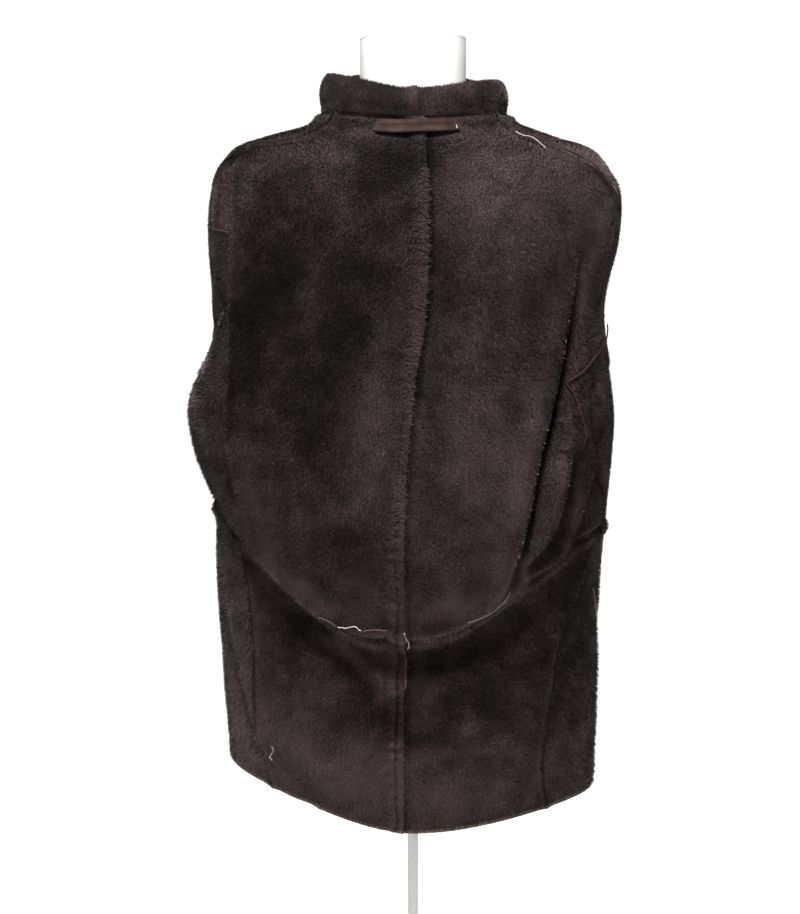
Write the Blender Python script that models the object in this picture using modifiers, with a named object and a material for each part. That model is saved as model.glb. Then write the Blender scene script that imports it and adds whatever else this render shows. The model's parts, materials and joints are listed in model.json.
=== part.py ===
"""A shearling coat turned fur side out, hanging on a limbless dress form.

Metres, +Z up. The wearer faces -Y, so the coat's back faces +Y and the wearer's left is +X. The
origin is the middle of the stand's underside. The cloth is a wall 6 mm thick, skin and clipped
pile together, on one smooth surface: rings worked out from SECTIONS, bent by CREASES and FOLDS,
and cut into panels along the seams of LINES. A ring is read by an angle from the centre back, plus
towards the wearer's left, and by a level, which counts the rows of SECTIONS from the hem up.
Neighbouring panels take their edges from the same surface, so they meet all through the wall.
"""

import math
from collections import namedtuple

import bmesh
import bpy
import numpy as np
from mathutils import Vector
from mathutils.bvhtree import BVHTree

WALL = 0.006
SEAM_GAP = 0.0003  # between two pieces that are sewn together or stand on each other
LIE_GAP = 0.0012  # under a strip that lies on a panel
REST_GAP = 0.0008  # between the form's shoulders and the coat that rests on them
FRONT_GAP = 0.0030  # between the two front edges, which hang open

# Heights of each ring at the back, left, right and front, its reach each way from the pole's
# axis, and how square it is (2 is an ellipse).
Section = namedtuple("Section", "name back_z left_z right_z front_z left right back front square late")
SECTIONS = (
    Section("hem", 0.625, 0.690, 0.660, 0.700, 0.2075, 0.2050, 0.150, 0.132, 2.20, 0),
    Section("skirt_low", 0.690, 0.742, 0.724, 0.752, 0.2110, 0.2055, 0.153, 0.134, 2.20, 0),
    Section("skirt_mid", 0.756, 0.815, 0.804, 0.820, 0.2170, 0.2090, 0.147, 0.135, 2.20, 3),
    Section("skirt_high", 0.807, 0.902, 0.900, 0.893, 0.2225, 0.2120, 0.137, 0.135, 2.20, 9),
    Section("waist", 0.832, 0.973, 0.954, 0.944, 0.2240, 0.2165, 0.146, 0.134, 2.20, 15),
    Section("billow_foot", 0.844, 0.991, 0.971, 0.958, 0.2265, 0.2190, 0.183, 0.134, 2.20, 15),
    Section("billow", 0.908, 1.034, 1.026, 1.020, 0.2440, 0.2245, 0.203, 0.136, 2.25, 8),
    Section("bulge", 1.000, 1.087, 1.078, 1.085, 0.2515, 0.2265, 0.197, 0.138, 2.30, 0),
    Section("underarm", 1.090, 1.140, 1.130, 1.135, 0.2340, 0.2210, 0.180, 0.138, 2.30, 0),
    Section("armhole", 1.165, 1.200, 1.195, 1.185, 0.2265, 0.2170, 0.165, 0.137, 2.30, 0),
    Section("blade", 1.225, 1.270, 1.268, 1.235, 0.2310, 0.2330, 0.152, 0.132, 2.30, 0),
    Section("shoulder", 1.275, 1.328, 1.332, 1.285, 0.2270, 0.2320, 0.139, 0.124, 2.30, 0),
    Section("shoulder_in", 1.315, 1.370, 1.371, 1.330, 0.2090, 0.2080, 0.126, 0.114, 2.25, 0),
    Section("shoulder_top", 1.350, 1.389, 1.388, 1.368, 0.1690, 0.1650, 0.113, 0.100, 2.20, 0),
    Section("neck_low", 1.378, 1.401, 1.402, 1.396, 0.1280, 0.1270, 0.098, 0.084, 2.10, 0),
    Section("neck", 1.400, 1.414, 1.412, 1.418, 0.1020, 0.1040, 0.082, 0.070, 2.00, 0),
)
LEVEL = {section.name: float(level) for level, section in enumerate(SECTIONS)}

# Where the seams and the two long creases cross each ring, in degrees from the centre back.
Line = namedtuple("Line", "name middle left_seam left_crease right_seam right_crease")
LINES = (
    Line("hem", 4.2, 55, 38, -52, -34),
    Line("skirt_low", 4.2, 60, 42, -49, -32),
    Line("skirt_mid", 4.2, 61, 44, -54, -33),
    Line("skirt_high", 3.8, 64, 46, -66, -31),
    Line("waist", 3.8, 68, 48, -75, -28),
    Line("billow_foot", 3.2, 69.5, 49, -74, -28),
    Line("billow", 3.0, 77, 54, -66, -31.5),
    Line("bulge", 2.6, 84, 56, -58, -37.5),
    Line("underarm", 0.2, 90, 61, -63, -47),
    Line("armhole", -3.5, 92, 65.5, -84, -55),
    Line("blade", -5.6, 91, 66, -87, -58),
    Line("shoulder", -6.2, 86, 67.5, -76, -59),
    Line("shoulder_in", -6.6, 77, 71, -62, -54),
    Line("shoulder_top", -7.0, 58, 50, -56, -48),
    Line("neck_low", -6.8, 56, 48, -56, -48),
    Line("neck", -6.0, 60, 52, -62, -51),
)

# The back hangs proud of the armhole along each crease: between two levels its edge swells by the
# ridge and leans over a groove, whose middle lies an offset further round.
Crease = namedtuple(
    "Crease", "side foot foot_fade top top_fade ridge groove offset ridge_width groove_width lean"
)
CREASES = (
    Crease("left", 5.6, 1.2, 12.1, 0.6, 0.007, 0.026, 0.015, 0.012, 0.012, 0.008),
    Crease("right", 4.9, 0.9, 10.3, 1.3, 0.006, 0.030, 0.016, 0.011, 0.013, 0.009),
)

# A fold runs along its path of (degrees, height) pairs. Its ridge stands on the left of the way
# it runs and its groove on the right, each a width away.
Fold = namedtuple("Fold", "name path ridge groove width")
FOLDS = (
    Fold(
        "right_outer_fold",
        ((-34, 0.904), (-38, 0.915), (-42, 0.932), (-45, 0.954), (-47, 0.98), (-49, 1.01), (-50.5, 1.05)),
        0.007, 0.018, 0.012,
    ),
    Fold("right_side_hollow", ((-54, 0.925), (-58, 0.965), (-61, 1.015), (-62, 1.075)), 0.0, 0.012, 0.016),
    Fold("left_arm_fold", ((70, 1.20), (84, 1.15), (98, 1.13)), 0.000, 0.010, 0.012),
    Fold(
        "left_hip_drag",
        ((38, 0.838), (33, 0.826), (26, 0.808), (19, 0.788), (11, 0.768)),
        0.005, 0.003, 0.009,
    ),
    Fold("left_low_smile", ((60, 0.785), (44, 0.752), (29, 0.730), (8, 0.708)), 0.0, 0.006, 0.020),
    Fold("left_hem_drag", ((56, 0.735), (44, 0.69), (34, 0.655)), 0.003, 0.005, 0.014),
    Fold(
        "right_low_smile",
        ((2, 0.698), (-13, 0.7075), (-22.5, 0.7235), (-32, 0.745)),
        0.004, 0.004, 0.012,
    ),
    Fold(
        "right_hem_drag",
        ((-51, 0.805), (-47, 0.773), (-40, 0.728), (-36, 0.697), (-32, 0.655)),
        0.006, 0.006, 0.015,
    ),
    Fold("right_hip_fold", ((-44, 0.888), (-52, 0.864), (-59, 0.836)), 0.004, 0.006, 0.010),
    Fold("left_front_fold", ((76, 0.86), (68, 0.78), (60, 0.70)), 0.005, 0.008, 0.011),
    Fold("right_front_fold", ((-92, 0.86), (-84, 0.76), (-82, 0.66)), 0.003, 0.005, 0.016),
    Fold("left_chest_drag", ((118, 1.27), (140, 1.16), (150, 1.04)), 0.004, 0.006, 0.018),
    Fold("right_chest_drag", ((-122, 1.25), (-138, 1.13), (-158, 1.05)), 0.005, 0.006, 0.020),
    Fold("left_front_drape", ((128, 0.90), (134, 0.80), (132, 0.69)), 0.005, 0.006, 0.022),
    Fold("right_front_drape", ((-134, 0.92), (-128, 0.80), (-130, 0.68)), 0.004, 0.007, 0.020),
    Fold("right_waist_break", ((-152, 1.00), (-124, 0.97), (-104, 0.985)), 0.004, 0.005, 0.016),
)
FOLD_ENDS = 0.18
FOLD_STEPS = 4

# How far the fur of each seam's allowance stands up from the wall, and how wide it lies.
MIDDLE_RAISE, MIDDLE_WIDTH = 0.0045, 0.0070
WAIST_RAISE, WAIST_WIDTH = 0.0050, 0.0070
SIDE_RAISE, SIDE_WIDTH = 0.0030, 0.0060
NECK_RAISE, NECK_WIDTH, NECK_DROP = 0.0040, 0.0060, 0.0090

# Shares of the way along a panel where its columns lie, close together at seams and creases.
MIDDLE_TO_CREASE = (0.0, 0.03, 0.07, 0.15, 0.27, 0.40, 0.54, 0.68, 0.80, 0.89, 0.95, 1.0)
CREASE_TO_SEAM = (0.0, 0.13, 0.27, 0.43, 0.61, 0.80, 1.0)
SEAM_TO_FRONT = (0.0, 0.06, 0.14, 0.23, 0.32, 0.41, 0.50, 0.59, 0.68, 0.77, 0.86, 0.94, 1.0)
SKIRT_LEVELS = (0.0, 0.35, 0.85, 1.4, 1.95, 2.5, 3.0, 3.4, 3.75, 4.0)
BODICE_LEVELS = (
    4.0, 4.25, 4.6, 5.0, 5.45, 5.95, 6.5, 7.0, 7.5, 8.0, 8.5, 9.0, 9.5,
    10.0, 10.5, 11.0, 11.5, 12.0, 12.5, 13.0, 13.5, 14.0, 14.55, 15.0,
)

# An armhole, seen from its side: its middle, its reach, how far its foot swings to the back, and
# how far in its sleeve hangs to clear the body.
Armhole = namedtuple("Armhole", "side middle_y middle_z half_y half_z swing sleeve_in")
ARMHOLES = {
    "left": Armhole(1, -0.008, 1.250, 0.052, 0.106, 0.008, 0.000),
    "right": Armhole(-1, 0.012, 1.238, 0.048, 0.116, 0.022, 0.006),
}
CUTTER_REACH = (0.150, 0.300)
SIDE_ANGLES, SIDE_COLUMNS, SIDE_ROWS = (25, 155), 90, 50

# The sleeve's head rolls out of the armhole and in again: how far it stands out from the body's
# side, and its share of the armhole's reach along Y and Z.
Lip = namedtuple("Lip", "out share_y share_z")
LIPS = (
    Lip(0.0000, 1.00, 1.00),
    Lip(0.0030, 0.87, 0.94),
    Lip(0.0035, 0.70, 0.86),
    Lip(-0.0005, 0.54, 0.78),
    Lip(-0.0120, 0.44, 0.72),
)
# Inside, it hangs as a flattened tube: the distance of its middle from the pole's plane, half its
# thickness, and its middle and reach along Y and Z.
Tube = namedtuple("Tube", "x half_x y half_y z half_z")
TUBES = (
    Tube(0.1950, 0.0100, 0.003, 0.023, 1.200, 0.066),
    Tube(0.1850, 0.0120, -0.004, 0.032, 1.140, 0.046),
    Tube(0.1790, 0.0125, -0.010, 0.042, 1.080, 0.022),
    Tube(0.1765, 0.0125, -0.014, 0.049, 1.020, 0.004),
    Tube(0.1755, 0.0125, -0.014, 0.052, 0.950, 0.000),
    Tube(0.1750, 0.0120, -0.012, 0.050, 0.870, 0.000),
    Tube(0.1745, 0.0115, -0.010, 0.048, 0.780, 0.000),
)
RING_POINTS = 28

# The collar's section above the neck seam: shares of its thickness outwards, and of its height.
COLLAR_THICK = 0.013
COLLAR_HEIGHT = (0.034, 0.045, 0.040, 0.052)  # at the back, left, right and front
COLLAR_OUTSIDE = ((0.22, 0.16), (0.38, 0.38), (0.34, 0.62), (0.12, 0.84), (-0.20, 0.97))
COLLAR_INSIDE = ((-0.52, 0.98), (-0.78, 0.84), (-0.80, 0.58), (-0.72, 0.30), (-0.62, 0.10))
COLLAR_END = 168
COLLAR_LEAST_STEP = 1.0

LOOP_LEVELS = (13.90, 14.17, 14.44)
LOOP_ANGLES = (24.5, -29)
LOOP_COLUMNS = 14
LOOP_BRIDGE = 0.032
LOOP_THICK = 0.0022

# The dress form under the coat: the height of each ring and its reach to the side, back and front.
Torso = namedtuple("Torso", "z side back front")
TORSO = (
    Torso(0.820, 0.140, 0.092, 0.088),
    Torso(0.835, 0.150, 0.100, 0.096),
    Torso(0.900, 0.150, 0.102, 0.098),
    Torso(0.980, 0.124, 0.086, 0.086),
    Torso(1.080, 0.134, 0.094, 0.104),
    Torso(1.180, 0.148, 0.104, 0.118),
    Torso(1.260, 0.154, 0.106, 0.108),
    Torso(1.320, 0.160, 0.100, 0.094),
)
TORSO_LEVELS = (13.0, 13.5, 14.0, 14.5, 15.0)
TORSO_POINTS = 44
NECK_RADIUS = 0.060
NECK_FOOT = 1.428
NECK_TOP = 1.4965
CAP_TOP = 1.505
CAP_RIM = 0.003
CAP_STEPS = 4
POLE_RADIUS = 0.006
BASE_RADIUS = 0.170
BASE_THICK = 0.008
BASE_EDGE = 0.004
BOSS_RADIUS = 0.022
BOSS_TOP = 0.040
TURN_STEPS = 40


# ---- the coat's surface ------------------------------------------------------------------------


def smooth(values, level):
    """The value at a level of a smooth curve through values, which lie one level apart."""
    values = np.asarray(values, float)
    last = len(values) - 1
    index = np.clip(np.floor(level).astype(int), 0, last - 1)
    part = level - index
    before, here = values[np.maximum(index - 1, 0)], values[index]
    after, beyond = values[index + 1], values[np.minimum(index + 2, last)]
    bend = 2 * before - 5 * here + 4 * after - beyond + part * (3 * (here - after) + beyond - before)
    return here + 0.5 * part * (after - before + part * bend)


def read(rows, column, level):
    return smooth([getattr(row, column) for row in rows], level)


def line_angle(column, level):
    """The angle in radians of a seam or crease at a level."""
    return np.radians(read(LINES, column, np.asarray(level, float)))


def round_mix(angle, back, left, right, front, late=0.0):
    """A value that turns smoothly through its four values round the body.

    From the centre back the left value only starts to come in at the late angle, in degrees.
    """
    across, along = np.sin(angle), np.cos(angle)
    start = np.radians(late)
    late_share = fade((angle - start) / (math.pi / 2 - start))
    share = np.where((across > 0) & (along > 0), late_share, across**2)
    return (1 - share) * np.where(along > 0, back, front) + share * np.where(across > 0, left, right)


def ring_point(angle, level):
    """(point, radius) on the plain ring, before any fold."""
    across, along = np.sin(angle), np.cos(angle)
    side = np.where(across > 0, read(SECTIONS, "left", level), read(SECTIONS, "right", level))
    depth = np.where(along > 0, read(SECTIONS, "back", level), read(SECTIONS, "front", level))
    power = read(SECTIONS, "square", level)
    radius = (np.abs(across / side) ** power + np.abs(along / depth) ** power) ** (-1 / power)
    heights = (read(SECTIONS, column, level) for column in ("back_z", "left_z", "right_z", "front_z"))
    z = round_mix(angle, *heights, late=read(SECTIONS, "late", level))
    return np.stack([radius * across, radius * along, z], axis=-1), radius


def directions(surface, angle, level):
    """Unit vectors round the body, up it and outwards from it."""
    turn, rise = 1e-3, 1e-2
    around = surface(angle + turn, level) - surface(angle - turn, level)
    low, high = np.maximum(level - rise, 0.0), np.minimum(level + rise, len(SECTIONS) - 1.0)
    up = surface(angle, high) - surface(angle, low)
    out = np.cross(up, around)
    around, out = (v / np.linalg.norm(v, axis=-1, keepdims=True) for v in (around, out))
    return around, np.cross(around, out), out


def bump(distance, width):
    """A soft rounded rise of 1 where the distance is 0, gone about two widths away."""
    return np.exp(-((distance / width) ** 2))


def fade(share):
    """Rises smoothly from 0 to 1 as share does."""
    share = np.clip(share, 0, 1)
    return share * share * (3 - 2 * share)


def crease_reading(crease, angle, level, radius):
    """(outward swell, lean over the groove) that a crease gives to points of the ring."""
    turned = 1 if crease.side == "left" else -1
    past = turned * (angle - line_angle(crease.side + "_crease", level)) * radius
    strength = fade((level - crease.foot) / crease.foot_fade) * fade((crease.top - level) / crease.top_fade)
    swell = crease.ridge * bump(past + crease.ridge_width, crease.ridge_width)
    swell = swell - crease.groove * bump(past - crease.offset, crease.groove_width)
    return strength * swell, strength * crease.lean * bump(past, crease.ridge_width)


def fold_path(path):
    """The fold's own points joined by a smooth curve, in radians and metres."""
    steps = np.linspace(0, len(path) - 1, FOLD_STEPS * (len(path) - 1) + 1)
    degrees, heights = zip(*path)
    return np.stack([np.radians(smooth(degrees, steps)), smooth(heights, steps)], -1)


def fold_reading(fold, angle, z, radius):
    """(distance to the right of the fold's path, strength there) at points of the ring."""
    path = fold_path(fold.path)
    nearest = np.full(angle.shape, np.inf)
    aside, strength = np.zeros(angle.shape), np.zeros(angle.shape)
    for step, (start, end) in enumerate(zip(path[:-1], path[1:])):
        run = np.stack([(end[0] - start[0]) * radius, np.full(angle.shape, end[1] - start[1])], -1)
        to_point = np.stack([(angle - start[0]) * radius, z - start[1]], -1)
        length = np.linalg.norm(run, axis=-1)
        share = np.clip((run * to_point).sum(-1) / length**2, 0, 1)
        distance = np.linalg.norm(to_point - share[..., None] * run, axis=-1)
        # The body is seen from outside with the angle growing to the viewer's left.
        side = np.stack([-run[..., 1], run[..., 0]], -1) / length[..., None]
        here = distance < nearest
        nearest = np.where(here, distance, nearest)
        aside = np.where(here, np.sign((side * to_point).sum(-1)) * distance, aside)
        along = (step + share) / (len(path) - 1)
        strength = np.where(here, fade(np.minimum(along, 1 - along) / FOLD_ENDS), strength)
    return aside, strength


def coat(angle, level):
    """Points of the coat's fur surface."""
    angle, level = np.broadcast_arrays(np.asarray(angle, float), np.asarray(level, float))
    point, radius = ring_point(angle, level)
    around, _, out = directions(lambda a, v: ring_point(a, v)[0], angle, level)
    moved = point.copy()
    for crease in CREASES:
        swell, lean = crease_reading(crease, angle, level, radius)
        turned = 1 if crease.side == "left" else -1
        moved += swell[..., None] * out + turned * lean[..., None] * around
    for fold in FOLDS:
        aside, strength = fold_reading(fold, angle, point[..., 2], radius)
        swell = fold.ridge * bump(aside + fold.width, fold.width)
        swell = swell - fold.groove * bump(aside - fold.width, fold.width)
        moved += (strength * swell)[..., None] * out
    return moved


def seam_raise(angle, level):
    """How far the fur of the seam allowances stands up at a point of the wall."""
    point, radius = ring_point(angle, level)
    waist, neck = (ring_point(angle, np.full(angle.shape, LEVEL[name]))[0] for name in ("waist", "neck"))
    side = np.where(angle > 0, line_angle("left_seam", level), line_angle("right_seam", level))
    from_middle = (angle - line_angle("middle", level)) * radius
    from_side = (angle - side) * radius
    from_waist = point[..., 2] - waist[..., 2]
    from_neck = np.linalg.norm(point - neck, axis=-1)
    return (
        MIDDLE_RAISE * bump(from_middle, MIDDLE_WIDTH)
        + SIDE_RAISE * bump(from_side, SIDE_WIDTH)
        + WAIST_RAISE * bump(from_waist, WAIST_WIDTH)
        + NECK_RAISE * bump(from_neck - NECK_DROP, NECK_WIDTH)
    )


# ---- meshes ------------------------------------------------------------------------------------


def material(name, colour, roughness, metallic=0.0):
    made = bpy.data.materials.new(name)
    made.use_nodes = True
    shader = made.node_tree.nodes["Principled BSDF"]
    shader.inputs["Base Color"].default_value = (*colour, 1.0)
    shader.inputs["Roughness"].default_value = roughness
    shader.inputs["Metallic"].default_value = metallic
    return made


def add_object(name, mesh, collection, finish):
    made = bpy.data.objects.new(name, mesh)
    collection.objects.link(made)
    mesh.materials.append(finish)
    return made


def mesh_of(name, points, faces):
    mesh = bpy.data.meshes.new(name)
    mesh.from_pydata([tuple(p) for p in points], [], faces)
    builder = bmesh.new()
    builder.from_mesh(mesh)
    bmesh.ops.remove_doubles(builder, verts=builder.verts, dist=1e-6)
    bmesh.ops.recalc_face_normals(builder, faces=builder.faces)
    if builder.calc_volume(signed=True) < 0:
        bmesh.ops.reverse_faces(builder, faces=builder.faces)
    builder.to_mesh(mesh)
    builder.free()
    mesh.shade_smooth()
    mesh.set_sharp_from_angle(angle=math.radians(40))
    return mesh


def wall_mesh(name, fur, skin, ring=False):
    """A closed wall between two like grids of points. A ring joins the last row to the first."""
    rows, columns = fur.shape[:2]
    points = np.concatenate([fur.reshape(-1, 3), skin.reshape(-1, 3)])
    under = rows * columns
    faces = []
    for i in range(rows if ring else rows - 1):
        for j in range(columns - 1):
            a, b = i * columns + j, i * columns + j + 1
            d, c = ((i + 1) % rows) * columns + j, ((i + 1) % rows) * columns + j + 1
            faces += [(a, b, c, d), (a + under, d + under, c + under, b + under)]
    for i in range(rows if ring else rows - 1):
        for edge in (0, columns - 1):
            a, b = i * columns + edge, ((i + 1) % rows) * columns + edge
            faces.append((a, b, b + under, a + under))
    if not ring:
        for j in range(columns - 1):
            for edge in (0, rows - 1):
                a, b = edge * columns + j, edge * columns + j + 1
                faces.append((a, b, b + under, a + under))
    return mesh_of(name, points, faces)


def loft_mesh(name, rings):
    """A closed solid through like rings of points, with a flat cap at each end."""
    rings = np.asarray(rings)
    count, around = rings.shape[:2]
    faces = [tuple(range(around)), tuple(range((count - 1) * around, count * around))]
    for low in range(0, (count - 1) * around, around):
        for j in range(around):
            beside = (j + 1) % around
            faces.append((low + j, low + beside, low + around + beside, low + around + j))
    return mesh_of(name, rings.reshape(-1, 3), faces)


def turned_object(name, profile, collection, finish):
    """A solid turned round Z from (radius, height) pairs that run down its outer side."""
    mesh = bpy.data.meshes.new(name)
    mesh.from_pydata([(r, 0, z) for r, z in profile], [(i, i + 1) for i in range(len(profile) - 1)], [])
    made = add_object(name, mesh, collection, finish)
    screw = made.modifiers.new("Turn", "SCREW")
    screw.steps = screw.render_steps = TURN_STEPS
    screw.use_merge_vertices = True
    screw.merge_threshold = 0.0001
    screw.use_smooth_shade = True
    return made


# ---- the coat's pieces -------------------------------------------------------------------------


def spread(start, end, shares):
    return start[:, None] + (end - start)[:, None] * np.asarray(shares)[None, :]


def panel_angles(part, side, levels):
    """Angles of a panel's columns, a row for each level."""
    levels = np.asarray(levels)
    seam = line_angle(side + "_seam", levels)
    if part == "back":
        middle, crease = line_angle("middle", levels), line_angle(side + "_crease", levels)
        inner, outer = spread(middle, crease, MIDDLE_TO_CREASE), spread(crease, seam, CREASE_TO_SEAM)
        return np.concatenate([inner, outer[:, 1:]], 1)
    front = np.full(levels.shape, math.pi if side == "left" else -math.pi)
    return spread(seam, front, SEAM_TO_FRONT)


def panel_mesh(name, part, side, levels):
    """A panel of the coat, held half a seam gap in from each of its edges."""
    angle = panel_angles(part, side, levels)
    level = np.broadcast_to(np.asarray(levels)[:, None], angle.shape)
    point = coat(angle, level)
    around, up, out = directions(coat, angle, level)
    inwards = 1 if side == "left" else -1
    shift = np.zeros(point.shape)
    shift[:, 0] += inwards * around[:, 0] * SEAM_GAP / 2
    shift[:, -1] -= inwards * around[:, -1] * (FRONT_GAP if part == "front" else SEAM_GAP) / 2
    shift[0] += up[0] * SEAM_GAP / 2
    shift[-1] -= up[-1] * SEAM_GAP / 2
    skin = point - out * WALL + shift
    fur = point + out * seam_raise(angle, level)[..., None] + shift
    return wall_mesh(name, fur, skin)


def armhole_ring(armhole, share_y, share_z, inset=0.0):
    """(y, z) points round an armhole's outline, from its top."""
    turn = np.linspace(0, 2 * math.pi, RING_POINTS, endpoint=False)
    y = armhole.middle_y - armhole.swing * np.cos(turn) + (armhole.half_y * share_y - inset) * np.sin(turn)
    z = armhole.middle_z + (armhole.half_z * share_z - inset) * np.cos(turn)
    return y, z


def armhole_cutter(side, collection):
    armhole = ARMHOLES[side]
    y, z = armhole_ring(armhole, 1, 1)
    rings = [np.stack([np.full(y.shape, armhole.side * x), y, z], -1) for x in CUTTER_REACH]
    name = f"armhole_cutter_{side}"
    cutter = bpy.data.objects.new(name, loft_mesh(name, rings))
    collection.objects.link(cutter)
    cutter.hide_render = True
    cutter.display_type = "WIRE"
    return cutter


def side_surface(side):
    """A tree of the coat's uncut side, to find where a line along X meets it."""
    levels = np.linspace(LEVEL["bulge"], LEVEL["shoulder_top"], SIDE_ROWS)
    angles = np.radians(np.linspace(*SIDE_ANGLES, SIDE_COLUMNS)) * ARMHOLES[side].side
    grid = coat(angles[None, :], levels[:, None])
    rows, columns = grid.shape[:2]
    faces = [
        (i * columns + j, i * columns + j + 1, (i + 1) * columns + j + 1, (i + 1) * columns + j)
        for i in range(rows - 1)
        for j in range(columns - 1)
    ]
    return BVHTree.FromPolygons([tuple(p) for p in grid.reshape(-1, 3)], faces)


def reach_at(tree, sign, y, z):
    hit = tree.ray_cast(Vector((sign * CUTTER_REACH[1], y, z)), Vector((-sign, 0, 0)))[0]
    return abs(hit.x)


def sleeve_mesh(name, side):
    """The sleeve's fur surface from the armhole seam, over its rolled head and down to the cuff."""
    armhole, tree = ARMHOLES[side], side_surface(side)
    turn = np.linspace(0, 2 * math.pi, RING_POINTS, endpoint=False)
    rings = []
    for row, lip in enumerate(LIPS):
        y, z = armhole_ring(armhole, lip.share_y, lip.share_z, inset=0.0 if row else SEAM_GAP)
        x = np.array([reach_at(tree, armhole.side, *at) for at in zip(y, z)]) + lip.out
        rings.append(np.stack([armhole.side * x, y, z], -1))
    for tube in TUBES:
        x = tube.x - armhole.sleeve_in - tube.half_x * np.cos(turn)
        y, z = tube.y + tube.half_y * np.sin(turn), tube.z + tube.half_z * np.cos(turn)
        rings.append(np.stack([armhole.side * x, y, z], -1))
    fur = np.stack(rings, 1)
    along = np.gradient(fur, axis=1)
    around = np.roll(fur, -1, axis=0) - np.roll(fur, 1, axis=0)
    out = np.cross(along, around) * armhole.side
    out /= np.linalg.norm(out, axis=-1, keepdims=True)
    out[:, 0] = (armhole.side, 0, 0)
    return wall_mesh(name, fur, fur - out * WALL, ring=True)


def collar_mesh(name, side):
    """Half of the rolled collar, on the panels' own columns along the neck seam."""
    sign = 1 if side == "left" else -1
    columns = np.concatenate([panel_angles(part, side, (LEVEL["neck"],))[0] for part in ("back", "front")])
    apart = sign * np.diff(columns, prepend=-sign * math.pi) > math.radians(COLLAR_LEAST_STEP)
    angle = columns[apart & (sign * columns < math.radians(COLLAR_END))]
    level = np.full(angle.shape, LEVEL["neck"])
    edge = coat(angle, level)
    around, up, out = directions(coat, angle, level)
    height = round_mix(angle, *COLLAR_HEIGHT)
    level_out = np.stack([np.sin(angle), np.cos(angle), np.zeros(angle.shape)], -1)
    upright = np.array((0, 0, 1.0))
    shift = np.zeros(edge.shape)
    shift[0] = sign * around[0] * SEAM_GAP / 2
    foot = edge + up * SEAM_GAP + shift
    ring = [foot]
    for across, rise in COLLAR_OUTSIDE + COLLAR_INSIDE:
        ring.append(foot + level_out * across * COLLAR_THICK + upright * (rise * height)[:, None])
    ring.append(foot - out * WALL)
    return loft_mesh(name, np.stack(ring, 1))


def loop_mesh(name):
    angle = np.radians(np.linspace(*LOOP_ANGLES, LOOP_COLUMNS + 1))[:, None]
    angle, level = np.broadcast_arrays(angle, np.asarray(LOOP_LEVELS)[None, :])
    out = directions(coat, angle, level)[2]
    from_middle = (angle - line_angle("middle", level)) * ring_point(angle, level)[1]
    beside = seam_raise(angle, level) - MIDDLE_RAISE * bump(from_middle, MIDDLE_WIDTH)
    lift = beside + MIDDLE_RAISE * bump(from_middle, LOOP_BRIDGE) + LIE_GAP
    under = coat(angle, level) + out * lift[..., None]
    return wall_mesh(name, under + out * LOOP_THICK, under)


# ---- the dress form ----------------------------------------------------------------------------


def torso_mesh(name):
    angle = np.linspace(0, 2 * math.pi, TORSO_POINTS, endpoint=False)
    across, along = np.sin(angle), np.cos(angle)
    rings = []
    for row in TORSO:
        depth = np.where(along > 0, row.back, row.front)
        rings.append(np.stack([row.side * across, depth * along, np.full(angle.shape, row.z)], -1))
    for level in TORSO_LEVELS:
        levels = np.full(angle.shape, level)
        out = directions(coat, angle, levels)[2]
        rings.append(coat(angle, levels) - out * (WALL + REST_GAP))
    top = np.stack([NECK_RADIUS * across, NECK_RADIUS * along, np.full(angle.shape, NECK_FOOT)], -1)
    rings.append(top)
    return loft_mesh(name, rings)


def rod_profile(radius, low, high):
    return ((0, high), (radius, high), (radius, low), (0, low))


def build_form(collection, shell, steel):
    add_object("form_torso", torso_mesh("form_torso"), collection, shell)
    turned_object("form_neck", rod_profile(NECK_RADIUS, NECK_FOOT + SEAM_GAP, NECK_TOP), collection, shell)
    low = NECK_TOP + SEAM_GAP
    rim = low + CAP_RIM
    turns = np.linspace(0, math.pi / 2, CAP_STEPS + 1)
    dome = [(NECK_RADIUS * math.sin(turn), rim + (CAP_TOP - rim) * math.cos(turn)) for turn in turns]
    turned_object("form_cap", [*dome, (NECK_RADIUS, low), (0, low)], collection, shell)
    pole = rod_profile(POLE_RADIUS, BOSS_TOP + SEAM_GAP, TORSO[0].z - SEAM_GAP)
    turned_object("stand_pole", pole, collection, steel)
    base = (
        (0, BOSS_TOP), (BOSS_RADIUS - BASE_EDGE, BOSS_TOP), (BOSS_RADIUS, BOSS_TOP - BASE_EDGE),
        (BOSS_RADIUS, BASE_THICK + BASE_EDGE), (BOSS_RADIUS + BASE_EDGE, BASE_THICK),
        (BASE_RADIUS - BASE_EDGE, BASE_THICK), (BASE_RADIUS, BASE_THICK - BASE_EDGE),
        (BASE_RADIUS, 0), (0, 0),
    )
    turned_object("stand_base", base, collection, steel)


def build_coat(collection, cutters, fur, leather):
    for side in ("left", "right"):
        cutter = armhole_cutter(side, cutters)
        for part in ("back", "front"):
            bodice = panel_mesh(f"{part}_bodice_{side}", part, side, BODICE_LEVELS)
            body = add_object(f"{part}_bodice_{side}", bodice, collection, fur)
            cut = body.modifiers.new("Armhole", "BOOLEAN")
            cut.operation = "DIFFERENCE"
            cut.object = cutter
            skirt = panel_mesh(f"{part}_skirt_{side}", part, side, SKIRT_LEVELS)
            add_object(f"{part}_skirt_{side}", skirt, collection, fur)
        add_object(f"sleeve_{side}", sleeve_mesh(f"sleeve_{side}", side), collection, fur)
        add_object(f"collar_{side}", collar_mesh(f"collar_{side}", side), collection, fur)
    add_object("locker_loop", loop_mesh("locker_loop"), collection, leather)


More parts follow.
